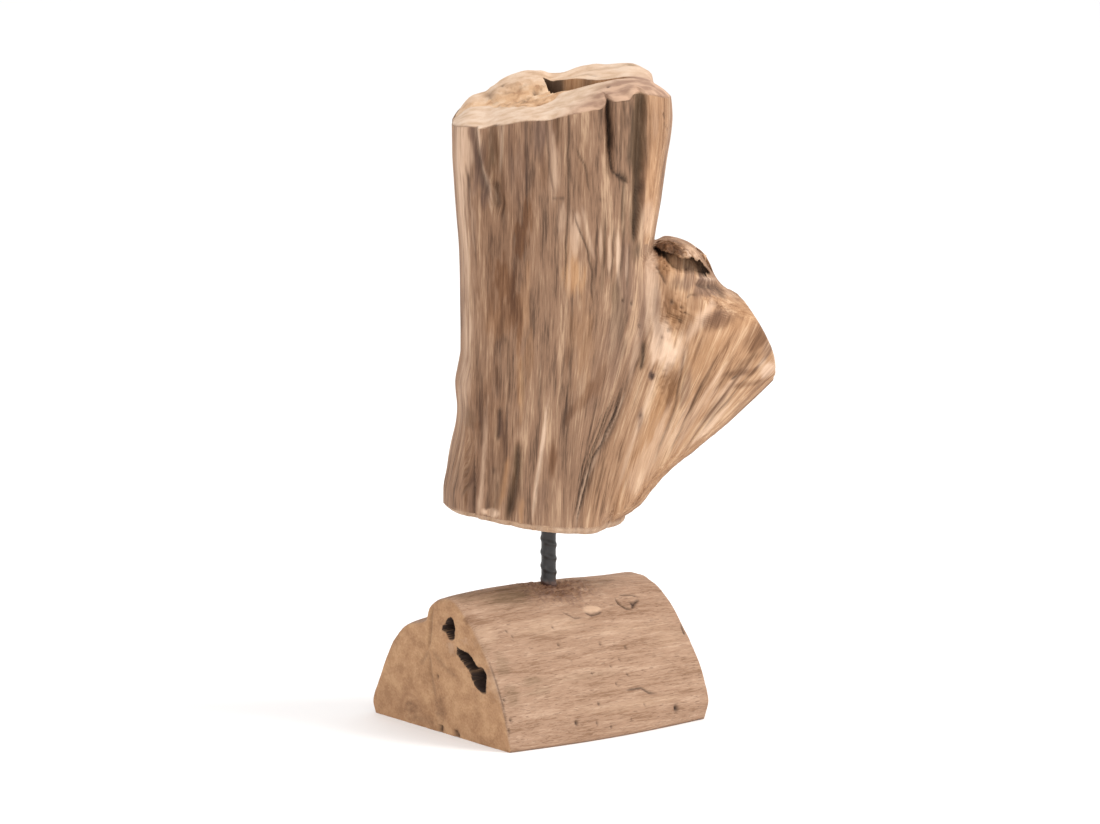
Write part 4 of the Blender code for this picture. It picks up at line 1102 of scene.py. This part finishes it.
# Painted shade: the dark mark darkens cracks, pits, hollows and the pocket.
colour = (0.92 * wire.mark("dark")).mix(colour, seen(46, 32, 24))
wire.tree.links.new(colour.socket, shader.inputs["Base Color"])
bump = wire.node("Bump", {}, {"Strength": 0.4, "Distance": 0.0007, "Height": fine + 0.7 * hair})
wire.tree.links.new(bump.socket, shader.inputs["Normal"])
print("Nodes in the root's wood:", len(root_wood.node_tree.nodes))

# %% The root in place, turned on its bar to face the camera
cos, sin = math.cos(TURN), math.sin(TURN)
turned = np.stack([
    rows[..., 0] * cos - rows[..., 1] * sin, rows[..., 0] * sin + rows[..., 1] * cos, rows[..., 2],
], axis=-1)
root = solid_of_rows("root", turned * MM, root_wood, marks)
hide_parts("root_block")
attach(root, "root")

# %% [markdown]
# ## The log
# Half a log lies flat side down. Both its ends are sawn across, and they differ. A bevelled half cylinder
# would be too regular for it. So each slice along the log is a closed outline of its own, an arch and a
# flat foot, which blends from the left end's to the right end's and swells a little in between.

# %% Outlines of the log's ends
LEFT_END = np.array([
    (-62.7, 1.5), (-59.6, 11), (-56.8, 19.8), (-49.3, 37.1), (-39.8, 54), (-22.8, 74.2), (-4.4, 86),
    (8.3, 83), (15.2, 78), (18.5, 69.3), (37, 63), (45, 57), (53, 46.6), (65.5, 21.7),
    (71, 7.4), (68.5, 1.5),
])
RIGHT_END = np.array([
    (-62.7, 1.5), (-64.2, 9.7), (-62, 18.6), (-54, 34), (-42.5, 48.4), (-24, 66), (-8.4, 75.5),
    (8, 79.4), (21.2, 78.6), (32.3, 75), (42, 66.5), (48.5, 58), (55, 47), (62.5, 25),
    (68, 9), (67, 1.5),
])
BASE_HEART = np.array([0, 34])
BASE_LEFT, BASE_RIGHT, BASE_NEAR = -70, 75.5, -62.7
BASE_LENGTH = BASE_RIGHT - BASE_LEFT
BASE_EDGE = 3
BASE_SQUARE_FOOT, FOOT_SHARE, FOOT_CHAMFER = 14, 0.25, 1.5
BASE_BULGE, BULGE_TOP, BASE_CROWN = 5, 60, 0.045
LEFT_SKEW, RIGHT_LEAN = 0.12, 3
ARCH_POINTS, FOOT_POINTS = 250, 60


def log_outline(outline):
    """Closed outline of a sawn end: a smooth arch through its points and a chamfered flat foot."""
    steps = np.linalg.norm(np.diff(outline, axis=0), axis=1)
    at = np.concatenate([[0], np.cumsum(steps)])
    t = np.linspace(0, at[-1], ARCH_POINTS)
    arch = np.stack([through(at, outline[:, 0], t), through(at, outline[:, 1], t)], axis=-1)
    across = np.linspace(outline[-1, 0] - FOOT_CHAMFER, outline[0, 0] + FOOT_CHAMFER, FOOT_POINTS)
    return np.concatenate([arch, np.stack([across, 0 * across], axis=-1)])[::-1]


def inset(outline, distance):
    """Outline moved in by a distance, towards the log's heart, but hardly at its square foot."""
    to_heart = BASE_HEART - outline
    share = FOOT_SHARE + (1 - FOOT_SHARE) * ramp(0, BASE_SQUARE_FOOT, outline[:, 1:])
    moved = outline + to_heart / np.linalg.norm(to_heart, axis=1, keepdims=True) * distance * share
    return np.where(outline[:, 1:] > 0, moved, outline * (1, 0))


# %% Slices of the log
left, right = log_outline(LEFT_END), log_outline(RIGHT_END)
left_cap, right_cap = inset(left, BASE_EDGE) - BASE_HEART, inset(right, BASE_EDGE) - BASE_HEART
slices = [(0, BASE_HEART + left_cap * share) for share in np.linspace(0.03, 0.985, 60)]
edge = [
    (BASE_EDGE * (1 - math.cos(angle)), BASE_EDGE * (1 - math.sin(angle)))
    for angle in np.radians(np.linspace(0, 75, 6))
]
slices += [(along, inset(left, inwards)) for along, inwards in edge]
for share in np.linspace(0, 1, 180):
    outline = left + (right - left) * share
    lower = ramp(0, BULGE_TOP, BULGE_TOP - outline[:, 1]) * (outline[:, 0] < 0)
    outline = outline - np.stack([BASE_BULGE * math.sin(math.pi * share) * lower, 0 * lower], axis=-1)
    outline = outline * (1, 1 + BASE_CROWN * math.sin(math.pi * share**0.75))
    slices.append((BASE_EDGE + share * (BASE_LENGTH - 2 * BASE_EDGE), outline))
slices += [(BASE_LENGTH - along, inset(right, inwards)) for along, inwards in edge[::-1]]
slices += [(BASE_LENGTH, BASE_HEART + right_cap * share) for share in np.linspace(0.98, 0.1, 14)]
log_body = []
for along, outline in slices:
    across, up = outline[:, 0], np.maximum(outline[:, 1], 0)
    skew = -LEFT_SKEW * (across - BASE_NEAR) * (1 - along / BASE_LENGTH)
    lean = RIGHT_LEAN * ramp(0, BASE_SQUARE_FOOT, up) * along / BASE_LENGTH
    log_body.append(np.column_stack([BASE_LEFT + along + skew + lean, across, up]))
log_body = np.array(log_body)
print("Log's grid:", log_body.shape)

# %% Cracks and pits of the log: their line or middle, width, depth and painted shade
log_x, log_y, log_z = (log_body[..., axis] for axis in range(3))
log_grain = log_body[..., (1, 2, 0)]
log_out = normals_of(log_body)
LOG_CRACKS = {
    "long side": (
        (((38.1, -17.3, 73.6), (38.1, -21.6, 70.6), (40.7, -24.4, 68.2),
          (44.8, -25.2, 67.2)), 0.7, 1.5, 0.8),
        (((55.3, -19, 71), (49.6, -21.6, 69.7), (44.8, -25.2, 67.2)), 0.8, 1.5, 0.9),
        (((42.1, -16, 74.1), (51.5, -15.6, 73.4), (56.4, -17.4, 71.9)), 0.6, 0.8, 0.6),
        (((8.6, -25.4, 69.5), (13, -26.9, 68), (19, -26.8, 68), (22.8, -25.2, 69.3)), 0.7, 0.9, 0.75),
        (((-7.1, -23.6, 71.8), (0, -27.5, 67.8), (5.7, -27.9, 67.2)), 0.6, 0.5, 0.5),
        (((76.7, -33.4, 55.5), (75.8, -36.8, 51.8), (74.9, -40.2, 48.1)), 0.8, 1.0, 0.8),
        (((16.4, -59.2, 26.3), (24.1, -59.1, 26.4), (28.4, -59.4, 25.9), (33.1, -61.4, 22.4),
          (39, -61.6, 21.6)), 0.7, 0.8, 0.7),
    ),
    "left end": (
        (((-82, 12.7, 82), (-79, 12.9, 72.3), (-79, 14.1, 59.5), (-79, 15.5, 49.6)), 1.5, 1.3, 0.3),
        (((-79, 15.2, 49.8), (-80, 24, 39)), 1.4, 0.5, 0.25),
        (((-79, 15.2, 49.8), (-79, 12.5, 34), (-78, 9, 20)), 1.6, 0.6, 0.25),
        (((-79, 13.2, 50.3), (-77, 0, 42), (-74, -12, 37)), 1.8, 0.5, 0.2),
        (((-79, 3.9, 0), (-79, 4.2, 5)), 1.6, 1.8, 0.9),
        (((-77, -9.5, 4.4), (-77, -13, 0)), 1.4, 1.8, 0.9),
        (((-73, -43, 55), (-71.5, -50, 42), (-71, -54, 30), (-70.5, -58.5, 14)), 0.6, 0.5, 0.5),
    ),
}
LOG_PITS = (
    ((10.6, -40.6, 51.9), 0.9), ((27.8, -43, 48.1), 0.9), ((12.2, -50.1, 39.6), 0.8),
    ((21.9, -53.6, 34.5), 0.9), ((-3, -51.5, 37.6), 0.8), ((11.7, -56.3, 30.8), 0.8),
    ((-4.9, -61.8, 21), 1.0), ((-22.9, -64.2, 12.8), 1.3), ((-9.1, -65.8, 10.5), 0.9),
    ((1.3, -67, 7.3), 0.9), ((51.6, -65.4, 11.7), 1.8), ((-19.4, -38.4, 55.5), 0.9),
    ((19.9, -47.7, 42.5), 0.8), ((-18.8, -31, 64.7), 0.9), ((48.2, -21.5, 69.9), 1.4),
    ((-79, 6.6, 34.9), 1.0), ((-67.9, -52.4, 30.6), 1.0), ((-66.8, -57.2, 19), 1.0),
    ((16.6, -66, 9.4), 0.7), ((28, -63.5, 16), 0.7), ((-69, -58.6, 13), 0.9), ((-52, -29, 66), 0.9),
    ((-49, -31, 63), 0.8),
)
surface = log_body.reshape(-1, 3)


def on_log(points):
    """For each point, the nearest of the log's own."""
    points = np.atleast_2d(points)
    return np.array([surface[np.argmin(((surface - point) ** 2).sum(axis=1))] for point in points])


log_deep, log_recess_shade = strongest(
    [(groove(log_body, on_log(line), width), *much) for line, width, *much in sum(LOG_CRACKS.values(), ())]
    + [(spot(log_body, on_log(middle)[0], (0.8 * size, size, 1.2 * size)), 1.1 * size, min(1, 0.7 * size))
       for middle, size in LOG_PITS]
)

# %% [markdown]
# ## Cavities and relief of the log
# Rot and drying opened cavities in the left end. Booleans could cut them, but the end's points are close
# enough to do it: those inside an outline on the end's face sink in behind it. Painted shade makes the walls
# almost black, with a lighter ridge between the two lower ones. Low ridges run along the sides, and crumbs
# of glue, sawdust and rust lie round the bar's foot.


# %% Cavities
def within(places, outline):
    """Distance to a closed outline, positive inside it and negative outside."""
    outline = np.asarray(outline, float)
    away = near_line(places, np.concatenate([outline, outline[:1]]))[0]
    odd = np.zeros(places.shape[:-1], bool)
    across, up = places[..., 0], places[..., 1]
    for (ax, ay), (bx, by) in zip(outline, np.roll(outline, -1, axis=0)):
        crosses = (ay > up) != (by > up)
        odd ^= crosses & (across < ax + (up - ay) * (bx - ax) / (by - ay if by != ay else 1))
    return np.where(odd, away, -away)


CAVITIES = (
    ((-6.4, 74.8), (-8.6, 72.8), (-10, 68.2), (-9.6, 62.4), (-7.1, 60.4), (-4.2, 61.4), (-2, 64.8),
      (1.3, 65.7), (0.9, 67.7), (-1.7, 69.6), (-2.1, 72.1), (-4.3, 73.4)),
    ((-12.1, 56.6), (-15.8, 55.8), (-19.4, 54.8), (-23, 54.7), (-26.6, 52.5), (-29.5, 48.7),
      (-32.3, 47.8), (-35.9, 48), (-38.8, 46.2), (-39.5, 42), (-39.1, 38.1), (-38.4, 32.6),
      (-35.1, 33), (-30.1, 35.4), (-27.2, 38.7), (-25.8, 41.3), (-24.7, 43.5), (-22.2, 45.4),
      (-18.6, 48.1), (-14.3, 50.7), (-12.1, 52.7)),
)
CAVITY_DEPTH, BRIDGE_RISE = 12, 8
ragged = np.stack([noise(log_body / 2 + 40, 21), noise(log_body / 2 + 40, 22)], axis=-1)
face = log_body[..., (1, 2)] + 0.5 * ragged
depth_in = np.maximum(within(face, CAVITIES[0]), within(face, CAVITIES[1]))
at_end = ramp(-55, -64, log_x)
sunk = ramp(-0.1, 0.9, depth_in) * at_end
bridge = groove(log_body[..., (1, 2)], ((-23, 43.4), (-28, 45.6), (-33.5, 47.6)), 1.2) * at_end
crumbled = ramp(0, -3.5, depth_in) * ramp(-6, 0, depth_in) * at_end
print("Points in the cavities:", int((sunk > 0.5).sum()))

# %% The log's relief
on_top = ramp(40, 50, log_z)
heap = np.hypot((log_x + 1) / 30, (log_y + 9) / 14) + 0.25 * noise(log_body / 5 + 40, 23)
around_bar = ramp(1.3, 0.5, heap) * on_top
grains = noise(log_body / 1.6 + 40, 24)
crumbs = around_bar * np.maximum(grains + 0.5 * noise(log_body / 0.9 + 40, 25), -0.2)
flake = ramp(1.15, 0.8, np.hypot((log_x - 15.5) / 7, (log_y + 24.2) / 2)) * on_top
dip = np.exp(-((np.hypot(log_x, log_y) / 9) ** 2)) * on_top
log_ridges = (
    0.4 * noise(log_grain / (6, 6, 70) + 40, 31) + 0.16 * noise(log_grain / (1.8, 1.8, 22) + 40, 32)
    + 0.1 * noise(log_grain / (0.9, 0.9, 8) + 40, 33)
)
log_flat = ramp(0.5, 0.9, np.abs(log_out[..., 0]))
smooth_end = 0.3 * noise(log_body / 11 + 40, 34) * log_flat
log_height = log_ridges * ramp(0.5, 4, log_z) * (1 - log_flat) + smooth_end - log_deep - 1.6 * dip
log_height = log_height + 1.7 * crumbs + 0.9 * flake + 0.25 * crumbled * noise(log_body / 1.2 + 40, 26)
log_rows = log_body + log_out * log_height[..., None]
log_rows[..., 0] += sunk * (CAVITY_DEPTH - BRIDGE_RISE * bridge)

# %% Stains of the log: middle, size and strength
LOG_STAINS = {
    "brown": (
        ((3, -8, 82), (22, 9, 8), 0.75), ((-4, -6, 84), (7, 6, 6), 0.9),
        ((-79, -43, 47), (8, 3, 4), 0.8), ((-79, 4, 14), (6, 7, 9), 0.5),
        ((-79, 31, 10), (6, 9, 6), 0.5), ((-79, 22, 5), (6, 14, 4), 0.4),
        ((-73, -21, 75), (8, 3, 4), 0.7), ((-72, 5, 84), (10, 5, 3), 0.4),
        ((45, -22, 70), (8, 4, 3), 0.3), ((52, -65, 12), (10, 4, 2), 0.5),
        ((0, -60, 22), (50, 6, 2), 0.35), ((-40, -64, 10), (20, 6, 3), 0.25),
        ((33, -61, 22), (10, 4, 3), 0.4), ((-79, -30, 20), (6, 4, 14), 0.25),
    ),
    "olive": (
        ((-38, -8, 82), (24, 12, 8), 0.75), ((-24, -4, 84), (12, 8, 6), 0.8),
        ((-60, -2, 84), (16, 12, 6), 0.5), ((-46.7, -49.1, 39.4), (9, 4, 3), 0.55),
        ((-42, -53, 33), (9, 4, 3), 0.5), ((-63, -42, 50), (6, 8, 10), 0.45),
        ((-62, -52, 34), (5, 8, 10), 0.4), ((30, -6, 82), (26, 8, 5), 0.4),
        ((-75, -36, 60), (10, 5, 8), 0.3), ((-10, -52, 38), (30, 5, 2.5), 0.25),
        ((-79, 50, 52), (6, 7, 7), 0.3),
    ),
    "pale": (
        ((16, -24.6, 70), (7, 3, 1.6), 0.7), ((-20, -30, 66), (30, 8, 8), 0.4),
        ((-66, -30, 66), (8, 6, 8), 0.4), ((20, -62, 18), (40, 8, 3), 0.35),
        ((-72, -48, 42), (3, 9, 10), 0.4), ((-79, -6, 56), (6, 4, 5), 0.4),
        ((30, -34, 58), (30, 6, 4), 0.3), ((-79, -20, 62), (6, 4, 3), 0.5),
        ((60, -40, 50), (14, 8, 14), 0.3),
    ),
}
log_fray = 0.4 * noise(log_grain / (1.6, 1.6, 9) + 40, 61) + 0.2 * noise(log_grain / (0.8, 0.8, 3) + 40, 62)
swirl = np.hypot(log_y - 33, log_z - 8) + 1.2 * noise(log_body / 6 + 40, 63)
rings = 0.5 + 0.5 * np.sin(math.tau * swirl / 4.5)
log_marks = {
    "grain": log_grain,
    # The dark mark is painted shade in the cracks, pits and cavities.
    "dark": np.maximum(log_recess_shade, ramp(-0.7, -0.2, depth_in) * at_end * (1 - 0.35 * bridge)),
    "sawn": log_flat * (log_x < 0),
    "flake": flake,
    "crumb": np.clip(around_bar + 0.5 * crumbled, 0, 1) * ramp(-0.2, 0.5, grains),
    "ring": rings * ramp(18, 8, swirl) * log_flat,
}
for kind, stains in LOG_STAINS.items():
    strength = np.zeros(log_body.shape[:2])
    for middle, size, much in stains:
        away = np.linalg.norm((log_body - np.array(middle, float)) / np.array(size, float), axis=-1)
        strength = np.maximum(strength, much * ramp(1.3, 0.3, away + log_fray))
    log_marks[kind] = strength

# %% [markdown]
# ## The log's finish
# The same dry teak. Its sides show the fibres' open pores as short brown dashes. Its sawn end cuts across
# the fibres, so it's smoother and more golden. Two materials on one piece would meet at a hard line, so one
# material fades from the sides' colour to the end's by a mark.

# %% Log wood
log_wood, shader, wire = raw_wood("Log wood", 0.75)
broad, fine, hair = wire.streaks(6, 50), wire.streaks(1.0, 12), wire.streaks(0.5, 4)
tone = (0.4 * broad + 0.35 * fine + 0.25 * hair).stretched()
dashes = wire.streaks(0.5, 6, 1.0).ramp(0.6, 0.7)
side = tone.palette(seen(138, 106, 82), seen(165, 133, 109), seen(184, 153, 129))
side = (0.6 * dashes).mix(side, seen(104, 74, 52))
face_tone = (0.65 * wire.streaks(9, 60) + 0.35 * wire.streaks(1.4, 60)).stretched()
end = face_tone.palette(seen(152, 114, 82), seen(167, 128, 94), seen(180, 142, 106))
end = (0.5 * wire.mark("ring")).mix(end, seen(136, 98, 72))
colour = wire.mark("sawn").mix(side, end)
colour = colour.tinted(tone, {
    "pale": ((176, 144, 116), (204, 174, 148)), "olive": ((104, 82, 60), (138, 112, 86)),
    "brown": ((98, 66, 46), (142, 106, 78)),
})
colour = (0.8 * wire.mark("flake")).mix(colour, seen(205, 172, 144))
colour = (0.6 * wire.mark("crumb")).mix(colour, seen(112, 84, 72))
# Painted shade in the log's cracks, pits and cavities.
colour = (0.96 * wire.mark("dark")).mix(colour, seen(34, 22, 20))
wire.tree.links.new(colour.socket, shader.inputs["Base Color"])
bump = wire.node("Bump", {}, {"Strength": 0.4, "Distance": 0.0006, "Height": fine + hair - dashes})
wire.tree.links.new(bump.socket, shader.inputs["Normal"])
print("Nodes in the log's wood:", len(log_wood.node_tree.nodes))

# %% The log in place
log_piece = solid_of_rows("log", log_rows * MM, log_wood, log_marks)
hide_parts("base_block")
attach(log_piece, "root")

# %% [markdown]
# ## The ribbed bar
# Reinforcing bar has slanting ribs rolled onto two sides. An Array of ring meshes would show their joints,
# so one surface has them all: its radius rises in a wave along a helix. The bar was painted black, and rust
# and glue cling to its foot.

# %% Bar
BAR_LOW, BAR_HIGH = 41.5, 175.5
BAR_CORE, RIB_HEIGHT, RIB_PITCH, RIB_SHARE = 4.6, 0.6, 8.7, 0.3
RUST_TOP = 90
BLACK = (0.02, 0.0185, 0.019)
bar_z = np.linspace(BAR_LOW, BAR_HIGH, 500)[:, None]
around = np.linspace(0, math.tau, 40, endpoint=False)[None, :]
phase = (bar_z / RIB_PITCH + around / math.tau) % 1
rib = ramp(0, 1, np.clip(1 - np.abs(phase - 0.5) / RIB_SHARE, 0, 1))
radius = BAR_CORE + RIB_HEIGHT * rib
bar_rows = np.stack([radius * np.cos(around), radius * np.sin(around), bar_z + 0 * around], axis=-1)
rust = ramp(RUST_TOP, RUST_TOP - 6, bar_rows[..., 2] + 2 * noise(bar_rows / 2 + 40, 71))
paint = plain("Bar", BLACK, 0.45)
wire = Wired(paint.node_tree)
rusty = (0.8 * wire.mark("rust")).mix((*BLACK, 1), seen(92, 62, 50))
wire.tree.links.new(rusty.socket, paint.node_tree.nodes["Principled BSDF"].inputs["Base Color"])
bar = solid_of_rows("bar", bar_rows * MM, paint, {"rust": rust})
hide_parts("steel_rod")
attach(bar, "root")
